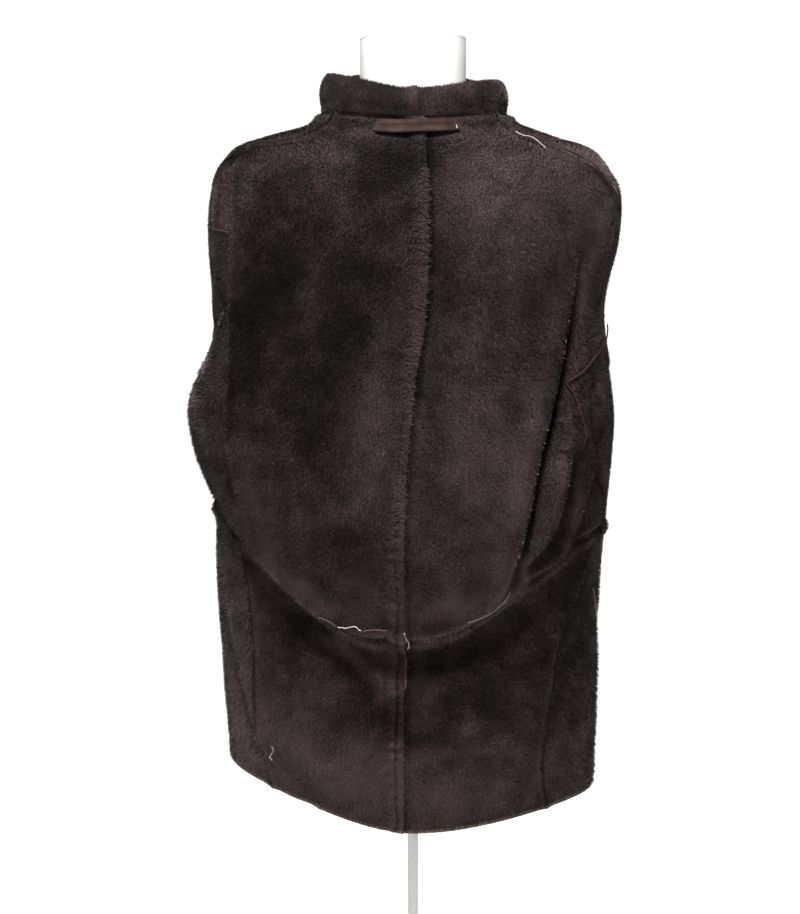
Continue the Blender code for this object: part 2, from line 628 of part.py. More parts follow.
def main():
    for old in list(bpy.data.objects):
        bpy.data.objects.remove(old, do_unlink=True)
    collection = bpy.data.collections.new("shearling_coat_on_dress_form")
    cutters = bpy.data.collections.new("cutters")
    for made in (collection, cutters):
        bpy.context.scene.collection.children.link(made)
    fur = material("clipped_fur", (0.035, 0.026, 0.026), 0.85)
    leather = material("reddish_leather", (0.11, 0.055, 0.045), 0.55)
    shell = material("form_white", (0.80, 0.80, 0.79), 0.55)
    steel = material("pole_steel", (0.62, 0.62, 0.63), 0.30, 1.0)
    build_coat(collection, cutters, fur, leather)
    build_form(collection, shell, steel)


main()
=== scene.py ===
# %% [markdown]
# # A shearling coat, fur side out, on a dress form
# The coat was turned inside out, so the clipped wool is on the outside and the leather is on the
# inside. Its sleeves were left inside the body. It hangs on a limbless dress form on a pole, and
# we look at its back. We model it in three layers: a thin leather wall with soft folds, a short
# nap of single hairs on that wall, and the threads and leather strips that lie on the nap.
# The frame holds the plain solids of every piece. Each fine piece here stands in for one of them.

import itertools
import json
import math
from collections import namedtuple

import bmesh
import bpy
import numpy as np
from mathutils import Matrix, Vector
from mathutils.bvhtree import BVHTree

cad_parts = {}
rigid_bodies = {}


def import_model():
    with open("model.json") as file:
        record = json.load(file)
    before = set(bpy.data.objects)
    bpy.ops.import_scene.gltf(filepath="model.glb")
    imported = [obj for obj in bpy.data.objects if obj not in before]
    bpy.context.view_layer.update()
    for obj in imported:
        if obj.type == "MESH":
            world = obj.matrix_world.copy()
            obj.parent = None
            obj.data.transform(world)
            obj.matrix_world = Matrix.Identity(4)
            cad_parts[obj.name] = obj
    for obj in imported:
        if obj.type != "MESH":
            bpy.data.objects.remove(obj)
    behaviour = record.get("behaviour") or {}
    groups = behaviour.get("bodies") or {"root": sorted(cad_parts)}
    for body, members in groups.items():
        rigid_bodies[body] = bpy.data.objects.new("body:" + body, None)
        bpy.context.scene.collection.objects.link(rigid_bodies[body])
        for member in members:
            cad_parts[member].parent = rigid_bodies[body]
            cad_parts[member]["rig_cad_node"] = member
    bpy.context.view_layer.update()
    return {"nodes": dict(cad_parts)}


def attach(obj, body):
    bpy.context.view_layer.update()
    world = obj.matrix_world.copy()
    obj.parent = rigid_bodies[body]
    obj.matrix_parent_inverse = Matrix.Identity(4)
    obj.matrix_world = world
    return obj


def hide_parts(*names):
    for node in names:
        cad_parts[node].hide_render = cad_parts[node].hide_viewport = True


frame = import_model()
BODY = "root"
print("frame:", len(frame["nodes"]), "nodes")

# %% [markdown]
# ## The camera
# A catalogue picture of a garment is taken from a few metres away, level with its middle, so that
# nothing looks tapered. We place the camera 2.6 m from the pole, behind the coat, with a
# lens that lets the coat fill the frame.

# %% Camera
CAMERA_PLACE = Vector((0.0147, 2.6, 1.027))
LENS_MM = 90.6
camera = bpy.data.objects.new("camera", bpy.data.cameras.new("camera"))
camera.location = CAMERA_PLACE
camera.rotation_euler = (math.pi / 2, 0, math.pi)
camera.data.lens = LENS_MM
camera.data.sensor_width = 36
bpy.context.scene.collection.objects.link(camera)
bpy.context.scene.camera = camera
print("camera at", tuple(round(c, 3) for c in CAMERA_PLACE))

# %% [markdown]
# ## The shape of the cloth
# A coat is cut flat and then hangs in one continuous skin, so we describe it as one surface and
# cut the panels out of it afterwards. Each row below is a ring round the body, from the hem up: its
# height at the back, left, right and front, and how far it reaches from the pole each way. The left
# is the wearer's left, at +X. A point of the coat is read by an angle from the centre back and by a
# level, which counts the rows. Smooth curves run between the rows.

# %% Rings of the coat
Section = namedtuple("Section", "name back_z left_z right_z front_z left right back front square late")
SECTIONS = (
    Section("hem", 0.625, 0.690, 0.660, 0.700, 0.2075, 0.2050, 0.150, 0.132, 2.20, 0),
    Section("skirt_low", 0.690, 0.742, 0.724, 0.752, 0.2110, 0.2055, 0.153, 0.134, 2.20, 0),
    Section("skirt_mid", 0.756, 0.815, 0.804, 0.820, 0.2170, 0.2090, 0.147, 0.135, 2.20, 3),
    Section("skirt_high", 0.807, 0.902, 0.900, 0.893, 0.2225, 0.2120, 0.137, 0.135, 2.20, 9),
    Section("waist", 0.832, 0.973, 0.954, 0.944, 0.2240, 0.2165, 0.146, 0.134, 2.20, 15),
    Section("billow_foot", 0.844, 0.991, 0.971, 0.958, 0.2265, 0.2190, 0.183, 0.134, 2.20, 15),
    Section("billow", 0.908, 1.034, 1.026, 1.020, 0.2440, 0.2245, 0.203, 0.136, 2.25, 8),
    Section("bulge", 1.000, 1.087, 1.078, 1.085, 0.2515, 0.2265, 0.197, 0.138, 2.30, 0),
    Section("underarm", 1.090, 1.140, 1.130, 1.135, 0.2340, 0.2210, 0.180, 0.138, 2.30, 0),
    Section("armhole", 1.165, 1.200, 1.195, 1.185, 0.2265, 0.2170, 0.165, 0.137, 2.30, 0),
    Section("blade", 1.225, 1.270, 1.268, 1.235, 0.2310, 0.2330, 0.152, 0.132, 2.30, 0),
    Section("shoulder", 1.275, 1.328, 1.332, 1.285, 0.2270, 0.2320, 0.139, 0.124, 2.30, 0),
    Section("shoulder_in", 1.315, 1.370, 1.371, 1.330, 0.2090, 0.2080, 0.126, 0.114, 2.25, 0),
    Section("shoulder_top", 1.350, 1.389, 1.388, 1.368, 0.1690, 0.1650, 0.113, 0.100, 2.20, 0),
    Section("neck_low", 1.378, 1.401, 1.402, 1.396, 0.1280, 0.1270, 0.098, 0.084, 2.10, 0),
    Section("neck", 1.400, 1.414, 1.412, 1.418, 0.1020, 0.1040, 0.082, 0.070, 2.00, 0),
)
LEVEL = {section.name: float(level) for level, section in enumerate(SECTIONS)}
TOP_LEVEL = LEVEL["neck"]

# Where the seams and the two long creases cross each ring, in degrees from the centre back.
Line = namedtuple("Line", "name middle left_seam left_crease right_seam right_crease")
LINES = (
    Line("hem", 4.2, 55, 38, -52, -34),
    Line("skirt_low", 4.2, 60, 42, -49, -32),
    Line("skirt_mid", 4.2, 61, 44, -54, -33),
    Line("skirt_high", 3.8, 64, 46, -66, -31),
    Line("waist", 3.8, 68, 48, -75, -28),
    Line("billow_foot", 3.2, 69.5, 49, -74, -28),
    Line("billow", 3.0, 77, 54, -66, -31.5),
    Line("bulge", 2.6, 84, 56, -58, -37.5),
    Line("underarm", 0.2, 90, 61, -63, -47),
    Line("armhole", -3.5, 92, 65.5, -84, -55),
    Line("blade", -5.6, 91, 66, -87, -58),
    Line("shoulder", -6.2, 86, 67.5, -76, -59),
    Line("shoulder_in", -6.6, 77, 71, -62, -54),
    Line("shoulder_top", -7.0, 58, 50, -56, -48),
    Line("neck_low", -6.8, 56, 48, -56, -48),
    Line("neck", -6.0, 60, 52, -62, -51),
)
# Which way angles and X grow on the wearer's left and right.
SIGN = {"left": 1, "right": -1}
print("the coat has", len(SECTIONS), "rings from", SECTIONS[0].name, "to", SECTIONS[-1].name)

# %% [markdown]
# ## Folds
# The back is far too wide for the form, so it hangs proud of the armholes along two long creases and
# billows above the waist. Each crease is a soft ridge that leans over a deep groove. The smaller
# folds are drag lines: paths of (degrees, height) pairs with a ridge on one side and a groove on the
# other, uneven in length and depth, as cloth hangs. The finest ones are here alone and not in the
# plain solids.

# %% Creases and folds
Crease = namedtuple(
    "Crease", "side foot foot_fade top top_fade ridge groove offset ridge_width groove_width lean"
)
CREASES = (
    Crease("left", 5.6, 1.2, 12.1, 0.6, 0.007, 0.026, 0.015, 0.012, 0.012, 0.008),
    Crease("right", 4.9, 0.9, 10.3, 1.3, 0.006, 0.030, 0.016, 0.011, 0.013, 0.009),
)
Fold = namedtuple("Fold", "name path ridge groove width")
FOLDS = (
    Fold(
        "right_outer_fold",
        ((-34, 0.904), (-38, 0.915), (-42, 0.932), (-45, 0.954), (-47, 0.98), (-49, 1.01), (-50.5, 1.05)),
        0.007, 0.018, 0.012,
    ),
    Fold("right_side_hollow", ((-54, 0.925), (-58, 0.965), (-61, 1.015), (-62, 1.075)), 0.0, 0.012, 0.016),
    Fold("left_arm_fold", ((70, 1.20), (84, 1.15), (98, 1.13)), 0.000, 0.010, 0.012),
    Fold(
        "left_hip_drag",
        ((38, 0.838), (33, 0.826), (26, 0.808), (19, 0.788), (11, 0.768)),
        0.005, 0.003, 0.009,
    ),
    Fold("left_low_smile", ((60, 0.785), (44, 0.752), (29, 0.730), (8, 0.708)), 0.0, 0.006, 0.020),
    Fold("left_hem_drag", ((56, 0.735), (44, 0.69), (34, 0.655)), 0.003, 0.005, 0.014),
    Fold(
        "right_low_smile",
        ((2, 0.698), (-13, 0.7075), (-22.5, 0.7235), (-32, 0.745)),
        0.004, 0.004, 0.012,
    ),
    Fold(
        "right_hem_drag",
        ((-51, 0.805), (-47, 0.773), (-40, 0.728), (-36, 0.697), (-32, 0.655)),
        0.006, 0.006, 0.015,
    ),
    Fold("right_hip_fold", ((-44, 0.888), (-52, 0.864), (-59, 0.836)), 0.004, 0.006, 0.010),
    Fold("left_front_fold", ((76, 0.86), (68, 0.78), (60, 0.70)), 0.005, 0.008, 0.011),
    Fold("right_front_fold", ((-92, 0.86), (-84, 0.76), (-82, 0.66)), 0.003, 0.005, 0.016),
    Fold("left_chest_drag", ((118, 1.27), (140, 1.16), (150, 1.04)), 0.004, 0.006, 0.018),
    Fold("right_chest_drag", ((-122, 1.25), (-138, 1.13), (-158, 1.05)), 0.005, 0.006, 0.020),
    Fold("left_front_drape", ((128, 0.90), (134, 0.80), (132, 0.69)), 0.005, 0.006, 0.022),
    Fold("right_front_drape", ((-134, 0.92), (-128, 0.80), (-130, 0.68)), 0.004, 0.007, 0.020),
    Fold("right_waist_break", ((-152, 1.00), (-124, 0.97), (-104, 0.985)), 0.004, 0.005, 0.016),
)
FOLD_ENDS = 0.18
FOLD_STEPS = 4
print(len(CREASES), "creases and", len(FOLDS), "folds")

# %% [markdown]
# ## Reading the surface
# These helpers turn an angle and a level into a point. `smooth` draws a curve through a column of
# the table, `round_mix` blends four values round the body, and `coat` adds the creases and folds to
# the plain ring. Everything works on whole grids of points at once with numpy, which is fast.

# %% Surface helpers
def smooth(values, level):
    """The value at a level of a smooth curve through values, which lie one level apart."""
    values = np.asarray(values, float)
    last = len(values) - 1
    index = np.clip(np.floor(level).astype(int), 0, last - 1)
    part = level - index
    before, here = values[np.maximum(index - 1, 0)], values[index]
    after, beyond = values[index + 1], values[np.minimum(index + 2, last)]
    bend = 2 * before - 5 * here + 4 * after - beyond + part * (3 * (here - after) + beyond - before)
    return here + 0.5 * part * (after - before + part * bend)


def read(rows, column, level):
    return smooth([getattr(row, column) for row in rows], level)


def line_angle(column, level):
    """The angle in radians of a seam or crease at a level."""
    return np.radians(read(LINES, column, np.asarray(level, float)))


def round_mix(angle, back, left, right, front, late=0.0):
    """A value that turns smoothly through its four values round the body.

    From the centre back the left value only starts to come in at the late angle, in degrees.
    """
    across, along = np.sin(angle), np.cos(angle)
    start = np.radians(late)
    late_share = fade((angle - start) / (math.pi / 2 - start))
    share = np.where((across > 0) & (along > 0), late_share, across**2)
    return (1 - share) * np.where(along > 0, back, front) + share * np.where(across > 0, left, right)


def bump(distance, width):
    """A soft rounded rise of 1 where the distance is 0, gone about two widths away."""
    return np.exp(-((distance / width) ** 2))


def fade(share):
    """Rises smoothly from 0 to 1 as share does."""
    share = np.clip(share, 0, 1)
    return share * share * (3 - 2 * share)


def ring_point(angle, level):
    """(point, radius) on the plain ring, before any fold."""
    across, along = np.sin(angle), np.cos(angle)
    side = np.where(across > 0, read(SECTIONS, "left", level), read(SECTIONS, "right", level))
    depth = np.where(along > 0, read(SECTIONS, "back", level), read(SECTIONS, "front", level))
    power = read(SECTIONS, "square", level)
    radius = (np.abs(across / side) ** power + np.abs(along / depth) ** power) ** (-1 / power)
    heights = (read(SECTIONS, column, level) for column in ("back_z", "left_z", "right_z", "front_z"))
    z = round_mix(angle, *heights, late=read(SECTIONS, "late", level))
    return np.stack([radius * across, radius * along, z], axis=-1), radius


def unit(vectors):
    return vectors / np.linalg.norm(vectors, axis=-1, keepdims=True)


def distance_along(points):
    """How far along their path the points lie, in metres."""
    return np.concatenate([[0], np.cumsum(np.linalg.norm(np.diff(points, axis=0), axis=1))])


def directions(surface, angle, level):
    """Unit vectors round the body, up it and outwards from it."""
    turn, rise = 1e-3, 1e-2
    around = surface(angle + turn, level) - surface(angle - turn, level)
    low, high = np.maximum(level - rise, 0.0), np.minimum(level + rise, TOP_LEVEL)
    up = surface(angle, high) - surface(angle, low)
    around, out = unit(around), unit(np.cross(up, around))
    return around, np.cross(around, out), out


def crease_place(crease, angle, level, radius):
    """(metres past the crease's line towards the side, the crease's strength) at points of the ring."""
    past = SIGN[crease.side] * (angle - line_angle(crease.side + "_crease", level)) * radius
    strength = fade((level - crease.foot) / crease.foot_fade) * fade((crease.top - level) / crease.top_fade)
    return past, strength


def crease_reading(crease, angle, level, radius):
    """(outward swell, lean over the groove) that a crease gives to points of the ring."""
    past, strength = crease_place(crease, angle, level, radius)
    swell = crease.ridge * bump(past + crease.ridge_width, crease.ridge_width)
    swell = swell - crease.groove * bump(past - crease.offset, crease.groove_width)
    return strength * swell, SIGN[crease.side] * strength * crease.lean * bump(past, crease.ridge_width)


def fold_path(path):
    """The fold's own points joined by a smooth curve, in radians and metres."""
    steps = np.linspace(0, len(path) - 1, FOLD_STEPS * (len(path) - 1) + 1)
    degrees, heights = zip(*path)
    return np.stack([np.radians(smooth(degrees, steps)), smooth(heights, steps)], -1)


def fold_reading(fold, angle, z, radius):
    """(distance to the right of the fold's path, strength there) at points of the ring."""
    path = fold_path(fold.path)
    nearest = np.full(angle.shape, np.inf)
    aside, strength = np.zeros(angle.shape), np.zeros(angle.shape)
    for step, (start, end) in enumerate(zip(path[:-1], path[1:])):
        run = np.stack([(end[0] - start[0]) * radius, np.full(angle.shape, end[1] - start[1])], -1)
        to_point = np.stack([(angle - start[0]) * radius, z - start[1]], -1)
        length = np.linalg.norm(run, axis=-1)
        share = np.clip((run * to_point).sum(-1) / length**2, 0, 1)
        distance = np.linalg.norm(to_point - share[..., None] * run, axis=-1)
        side = np.stack([-run[..., 1], run[..., 0]], -1) / length[..., None]
        here = distance < nearest
        nearest = np.where(here, distance, nearest)
        aside = np.where(here, np.sign((side * to_point).sum(-1)) * distance, aside)
        along = (step + share) / (len(path) - 1)
        strength = np.where(here, fade(np.minimum(along, 1 - along) / FOLD_ENDS), strength)
    return aside, strength


def coat(angle, level):
    """Points of the coat's outer surface, where the fur ends."""
    angle, level = np.broadcast_arrays(np.asarray(angle, float), np.asarray(level, float))
    point, radius = ring_point(angle, level)
    around, _, out = directions(lambda a, v: ring_point(a, v)[0], angle, level)
    moved = point.copy()
    for crease in CREASES:
        swell, lean = crease_reading(crease, angle, level, radius)
        moved += swell[..., None] * out + lean[..., None] * around
    for fold in FOLDS:
        aside, strength = fold_reading(fold, angle, point[..., 2], radius)
        swell = fold.ridge * bump(aside + fold.width, fold.width)
        swell = swell - fold.groove * bump(aside - fold.width, fold.width)
        moved += (strength * swell)[..., None] * out
    return moved


middle_of_back = coat(np.radians(0.0), LEVEL["bulge"])
print("the back's bulge stands", round(float(middle_of_back[1]) * 1000), "mm behind the pole")

# %% [markdown]
# ## Seam allowances
# The coat was sewn with the leather outside, so when it is turned its seam allowances stand up in
# the fur as soft ridges. The centre-back one has fallen to the wearer's left: it rises at once at the
# seam and fades over the left panel. Low down it lies in a groove, so it reads as a double line. The
# others stand up evenly on both sides. The rule below gives how far the surface rises at each point.

# %% Seam ridges
Ridge = namedtuple("Ridge", "height width")
MIDDLE_RIDGE = Ridge(0.0050, 0.0150)
MIDDLE_GROOVE = Ridge(0.0022, 0.0035)
TUFT_PITCH, TUFT_SHARE, TUFT_DRIFT = 0.017, 0.12, 1.6
GROOVE_TOP, GROOVE_FADE, GROOVE_PLACE = 1.06, 0.05, 1.25 * MIDDLE_RIDGE.width
SLIT, SLIT_PLACE, SLIT_WANDER = Ridge(0.0022, 0.00175), 0.0075, 0.0011
WAIST_RIDGE, WAIST_DROP = Ridge(0.0050, 0.0060), 0.0030
NECK_RIDGE, NECK_DROP = Ridge(0.0045, 0.0065), 0.0090
SIDE_RIDGE = Ridge(0.0036, 0.0050)


def rise_of(ridge, distance):
    return ridge.height * bump(distance, ridge.width)


def seam_distances(angle, level):
    """Metres from each point to the middle seam (plus to the left), side seam, waist and neck."""
    point, radius = ring_point(angle, level)
    waist, neck = (ring_point(angle, np.full(angle.shape, LEVEL[line]))[0] for line in ("waist", "neck"))
    side = np.where(angle > 0, line_angle("left_seam", level), line_angle("right_seam", level))
    from_middle = (angle - line_angle("middle", level)) * radius
    from_side = (angle - side) * radius
    return from_middle, from_side, point[..., 2] - waist[..., 2], np.linalg.norm(point - neck, axis=-1)


def slit_place(z):
    """Where the slit lies in the middle ridge, which wanders a little up the back."""
    return SLIT_PLACE + SLIT_WANDER * np.sin(83 * z + 2 * np.sin(31 * z))


def seam_raise(angle, level):
    """How far the fur of the seam allowances stands up from the wall."""
    middle, side, waist, neck = seam_distances(angle, level)
    z = ring_point(angle, level)[0][..., 2]
    turn = math.pi * z / TUFT_PITCH
    tufted = 1 + TUFT_SHARE * (np.sin(2 * turn + TUFT_DRIFT * np.sin(95 * z)) + np.sin(2.7 * turn))
    reach = np.maximum(middle, 0) / (MIDDLE_RIDGE.width * tufted)
    ridge = MIDDLE_RIDGE.height * tufted * np.exp(-(reach**4))
    groove = rise_of(MIDDLE_GROOVE, middle - GROOVE_PLACE) + rise_of(SLIT, middle - slit_place(z))
    others = rise_of(WAIST_RIDGE, waist + WAIST_DROP) + rise_of(NECK_RIDGE, neck - NECK_DROP)
    others = others + rise_of(SIDE_RIDGE, side)
    return ridge * (middle > -1e-4) - fade((GROOVE_TOP - z) / GROOVE_FADE) * groove + others


print("the centre-back ridge is", round(MIDDLE_RIDGE.width * 1000), "mm wide")

# %% [markdown]
# ## Small unevenness
# Real shearling is heavy and slightly lumpy: its skin has thick and thin places, and the wool sits in
# tufts. A sum of a few slow waves in different directions, each with its own length, gives a gentle
# swell of a millimetre or two that never repeats. It is a formula, so it gives the same form each time.

# %% Lumps
LUMP_HEIGHT = 0.0016
Wave = namedtuple("Wave", "x y z phase share")
WAVES = (
    Wave(31.0, 17.0, 23.0, 0.4, 0.30),
    Wave(-43.0, 29.0, 37.0, 1.9, 0.24),
    Wave(61.0, -47.0, 41.0, 2.7, 0.18),
    Wave(-23.0, 71.0, -67.0, 0.9, 0.16),
    Wave(97.0, 53.0, -89.0, 4.1, 0.12),
)


def lumps(points):
    """A gentle swell at each point, in metres."""
    total = np.zeros(points.shape[:-1])
    for wave in WAVES:
        total += wave.share * np.sin(points @ np.array((wave.x, wave.y, wave.z)) + wave.phase)
    return LUMP_HEIGHT * total


print("lumps of up to", LUMP_HEIGHT * 1000, "mm from", len(WAVES), "waves")

# %% [markdown]
# ## Node helpers
# Both shader and geometry trees are built from nodes, links and sockets. `place` adds one node, sets
# its options and fills its inputs with plain values or with other nodes' outputs. `new_group` makes a
# node group with named sockets, which is Blender's way to write a function once and use it often.

# %% Node helpers
def place(tree, kind, inputs=None, **settings):
    """Adds a node, applies its settings, and fills its inputs with values or other sockets."""
    made = tree.nodes.new(kind)
    for name, value in settings.items():
        setattr(made, name, value)
    for key, value in (inputs or {}).items():
        if isinstance(value, bpy.types.NodeSocket):
            tree.links.new(value, made.inputs[key])
        else:
            made.inputs[key].default_value = value
    return made


def output(tree, kind, inputs=None, socket=0, **settings):
    """One output of a node that place adds."""
    return place(tree, kind, inputs, **settings).outputs[socket]


def new_group(name, kind, inputs, outputs):
    """(tree, its input node, its output node). inputs maps a name to (socket type, default)."""
    tree = bpy.data.node_groups.new(name, kind)
    for socket, (socket_type, default) in inputs.items():
        made = tree.interface.new_socket(name=socket, in_out="INPUT", socket_type=socket_type)
        if default is not None:
            made.default_value = default
    for socket, socket_type in outputs.items():
        tree.interface.new_socket(name=socket, in_out="OUTPUT", socket_type=socket_type)
    return tree, tree.nodes.new("NodeGroupInput"), tree.nodes.new("NodeGroupOutput")


FLOAT, COLOUR, VECTOR = "NodeSocketFloat", "NodeSocketColor", "NodeSocketVector"
GEOMETRY, MATERIAL, WHOLE = "NodeSocketGeometry", "NodeSocketMaterial", "NodeSocketInt"


def math_node(tree, operation, first, second=0.0):
    return output(tree, "ShaderNodeMath", {0: first, 1: second}, operation=operation)


def vector_node(tree, operation, first, second=(0, 0, 0), socket=0):
    return output(tree, "ShaderNodeVectorMath", {0: first, 1: second}, socket, operation=operation)


def scaled(tree, vector, scale):
    return output(tree, "ShaderNodeVectorMath", {0: vector, "Scale": scale}, operation="SCALE")


def noise_at(tree, where, scale, detail, socket="Fac"):
    return output(tree, "ShaderNodeTexNoise", {"Vector": where, "Scale": scale, "Detail": detail}, socket)


def mixed(tree, share, first, second):
    return output(tree, "ShaderNodeMix", {"Factor": share, 6: first, 7: second}, 2, data_type="RGBA")


def own_place(tree):
    return output(tree, "ShaderNodeTexCoord", socket="Object")


def finish_tree(tree, given, result, geometry):
    """The end of a geometry tree: real geometry in the material that was asked for."""
    real = output(tree, "GeometryNodeRealizeInstances", {"Geometry": geometry})
    done = output(tree, "GeometryNodeSetMaterial", {"Geometry": real, "Material": given.outputs["Material"]})
    tree.links.new(done, result.inputs[0])
    return tree


print("node helpers ready")

# %% [markdown]
# ## Mottled fur colour
# Clipped shearling is never one colour. The wool lies in patches that catch the light or swallow it,
# and its tips are a warm brown-grey. The group mixes three noises, slow, middling and fine, into one
# value and turns it into a colour between a dark and a light, then darkens each hair towards its root
# as painted shade deep in the nap. `Tip` says how near its end a hair is, and `Patch` brings the
# painted light and shade laid on the nap by place.

# %% Fur colour group
# Scale and detail of the slow, middling and fine noise, then what they, the patches and the strands
# add to the level.
FUR_NOISES = ((12.0, 3.0), (42.0, 4.0), (420.0, 2.0))
FUR_SHARES = (0.45, 1.05, 1.3, 1.1, 0.45)
LEVEL_LOW, LEVEL_HIGH = -0.85, 1.15
# Painted shade in the nap: a hair keeps this share of its colour at the root, and its tip gets this much
# more.
ROOT_PAINTED_SHADE, TIP_PAINTED_LIFT = 0.4, 0.6


def build_fur_colour():
    tree, given, result = new_group(
        "fur_colour",
        "ShaderNodeTree",
        {
            "Dark": (COLOUR, (0.012, 0.009, 0.009, 1)),
            "Light": (COLOUR, (0.07, 0.055, 0.053, 1)),
            "Tip": (FLOAT, 1.0),
            "Patch": (FLOAT, 0.5),
            "Strand": (FLOAT, 0.5),
        },
        {"Colour": COLOUR, "Height": FLOAT, "Gloss": FLOAT},
    )
    where = own_place(tree)
    slow, middling, fine = (noise_at(tree, where, *noise) for noise in FUR_NOISES)
    values = (slow, middling, fine, given.outputs["Patch"], given.outputs["Strand"])
    total = None
    for value, share in zip(values, FUR_SHARES):
        part = math_node(tree, "MULTIPLY", math_node(tree, "SUBTRACT", value, 0.5), share)
        total = part if total is None else math_node(tree, "ADD", total, part)
    ends = {"Value": total, "From Min": LEVEL_LOW, "From Max": LEVEL_HIGH}
    level = output(tree, "ShaderNodeMapRange", ends, interpolation_type="SMOOTHERSTEP")
    tone = mixed(tree, level, given.outputs["Dark"], given.outputs["Light"])
    # Painted shade: each hair is darkened towards its root.
    depth = math_node(tree, "ADD", math_node(tree, "MULTIPLY", given.outputs["Tip"], TIP_PAINTED_LIFT), ROOT_PAINTED_SHADE)
    for value, name in ((scaled(tree, tone, depth), "Colour"), (fine, "Height"), (level, "Gloss")):
        tree.links.new(value, result.inputs[name])
    return tree


FUR_COLOUR = build_fur_colour()
print("fur colour group:", len(FUR_COLOUR.nodes), "nodes")

# %% [markdown]
# ## Leather grain
# The coat's true outside is suede-like leather, now on the inside: it shows at the hem, round the
# armholes, on the hanging loop and inside the skirt. Its grain is a field of small pebbles with
# shallow creases between them, so a Voronoi pattern for the pebbles and a noise for the rubbing make
# its height, and the same noise varies its colour.

# %% Leather grain group
RUBBED_NOISE = (45.0, 5.0)
RUBBED_FROM, RUBBED_TO = 0.42, 0.72
ROUGH, POLISHED, PEBBLE_DEPTH = 0.75, 0.5, -0.6


def build_leather_grain():
    tree, given, result = new_group(
        "leather_grain",
        "ShaderNodeTree",
        {
            "Colour": (COLOUR, (0.10, 0.055, 0.045, 1)),
            "Worn": (COLOUR, (0.20, 0.12, 0.10, 1)),
            "Scale": (FLOAT, 700.0),
        },
        {"Colour": COLOUR, "Roughness": FLOAT, "Height": FLOAT},
    )
    where = own_place(tree)
    voronoi = {"Vector": where, "Scale": given.outputs["Scale"]}
    pebbles = output(tree, "ShaderNodeTexVoronoi", voronoi, "Distance")
    rubbed = noise_at(tree, where, *RUBBED_NOISE)
    mask = output(tree, "ShaderNodeMapRange", {"Value": rubbed, 1: RUBBED_FROM, 2: RUBBED_TO})
    tone = mixed(tree, mask, given.outputs["Colour"], given.outputs["Worn"])
    rough = output(tree, "ShaderNodeMapRange", {"Value": rubbed, 3: ROUGH, 4: POLISHED})
    height = math_node(tree, "ADD", math_node(tree, "MULTIPLY", pebbles, PEBBLE_DEPTH), rubbed)
    for value, name in ((tone, "Colour"), (rough, "Roughness"), (height, "Height")):
        tree.links.new(value, result.inputs[name])
    return tree


LEATHER_GRAIN = build_leather_grain()
print("leather grain group:", len(LEATHER_GRAIN.nodes), "nodes")

# %% [markdown]
# ## Materials
# Each finish is a Principled shader. What is the same all over, such as the fur's sheen, is set on
# the shader's own sockets. What changes over the surface comes from the groups. Sheen is the soft
# glow that a nap has at grazing angles, and it is what makes black fur readable.

# %% Materials
def new_material(name, roughness=0.5, **constants):
    """(material, its tree, its Principled shader) with the constants set on the shader."""
    made = bpy.data.materials.new(name)
    made.use_nodes = True
    shader = made.node_tree.nodes["Principled BSDF"]
    shader.inputs["Roughness"].default_value = roughness
    for socket, value in constants.items():
        shader.inputs[socket.replace("_", " ")].default_value = value
    return made, made.node_tree, shader


def give_bump(tree, shader, height, strength, distance):
    made = place(tree, "ShaderNodeBump", {"Height": height, "Strength": strength, "Distance": distance})
    tree.links.new(made.outputs["Normal"], shader.inputs["Normal"])


def attribute(tree, name):
    return output(tree, "ShaderNodeAttribute", socket="Fac", attribute_name=name)


SHEEN_TINT = (0.86, 0.70, 0.69, 1)


def fur_material(name, dark, light, tip=None, sheen=0.4):
    """The fur's finish. A surface under the nap has one tip value, which darkens it as painted shade between
    the hairs, and hairs carry their own.
    """
    made, tree, shader = new_material(
        name, roughness=0.88, Sheen_Roughness=0.45, Sheen_Tint=SHEEN_TINT, Specular_IOR_Level=0.15
    )
    inputs = {"Dark": (*dark, 1), "Light": (*light, 1), "Patch": attribute(tree, "nap_light")}
    if tip is None:
        inputs.update({"Tip": attribute(tree, "tip"), "Strand": attribute(tree, "strand")})
    else:
        inputs["Tip"] = tip
    group = place(tree, "ShaderNodeGroup", inputs, node_tree=FUR_COLOUR)
    glow = math_node(tree, "MULTIPLY", group.outputs["Gloss"], sheen)
    tree.links.new(group.outputs["Colour"], shader.inputs["Base Color"])
    tree.links.new(glow, shader.inputs["Sheen Weight"])
    if tip is not None:
        give_bump(tree, shader, group.outputs["Height"], 0.5, 0.002)
    return made


def leather_material(name, colour, worn, scale):
    made, tree, shader = new_material(name, Specular_IOR_Level=0.15)
    inputs = {"Colour": (*colour, 1), "Worn": (*worn, 1), "Scale": scale}
    group = place(tree, "ShaderNodeGroup", inputs, node_tree=LEATHER_GRAIN)
    tree.links.new(group.outputs["Colour"], shader.inputs["Base Color"])
    tree.links.new(group.outputs["Roughness"], shader.inputs["Roughness"])
    give_bump(tree, shader, group.outputs["Height"], 0.35, 0.0006)
    return made


FUR_DARK, FUR_LIGHT = (0.0072, 0.0044, 0.0044), (0.136, 0.094, 0.093)
# The surface under the nap takes tip 0.30, so it is drawn darker as painted shade between the hairs.
UNDERFUR_IN_PAINTED_SHADE = fur_material("underfur", FUR_DARK, FUR_LIGHT, tip=0.30)
NAP = fur_material("clipped_nap", FUR_DARK, FUR_LIGHT)
FLUFF = fur_material("loose_fluff", (0.014, 0.0095, 0.0098), (0.125, 0.088, 0.088))
LEATHER = leather_material("leather_inside", (0.040, 0.022, 0.018), (0.085, 0.050, 0.042), 700.0)
TAN_LEATHER = leather_material("tan_leather_edge", (0.135, 0.088, 0.072), (0.270, 0.190, 0.160), 900.0)
STRIP_LEATHER = leather_material(
    "reddish_strip_leather", (0.022, 0.010, 0.0085), (0.050, 0.026, 0.023), 900.0
)
print("fur and leather materials ready")

# %% [markdown]
# ## Thread, form and stand
# Thread is waxed cotton: off-white and a little rough, with its ply as fine stripes. The form is a
# moulded shell with a matt white coat, slightly uneven, and the pole is drawn steel whose fine lines
# run along it.

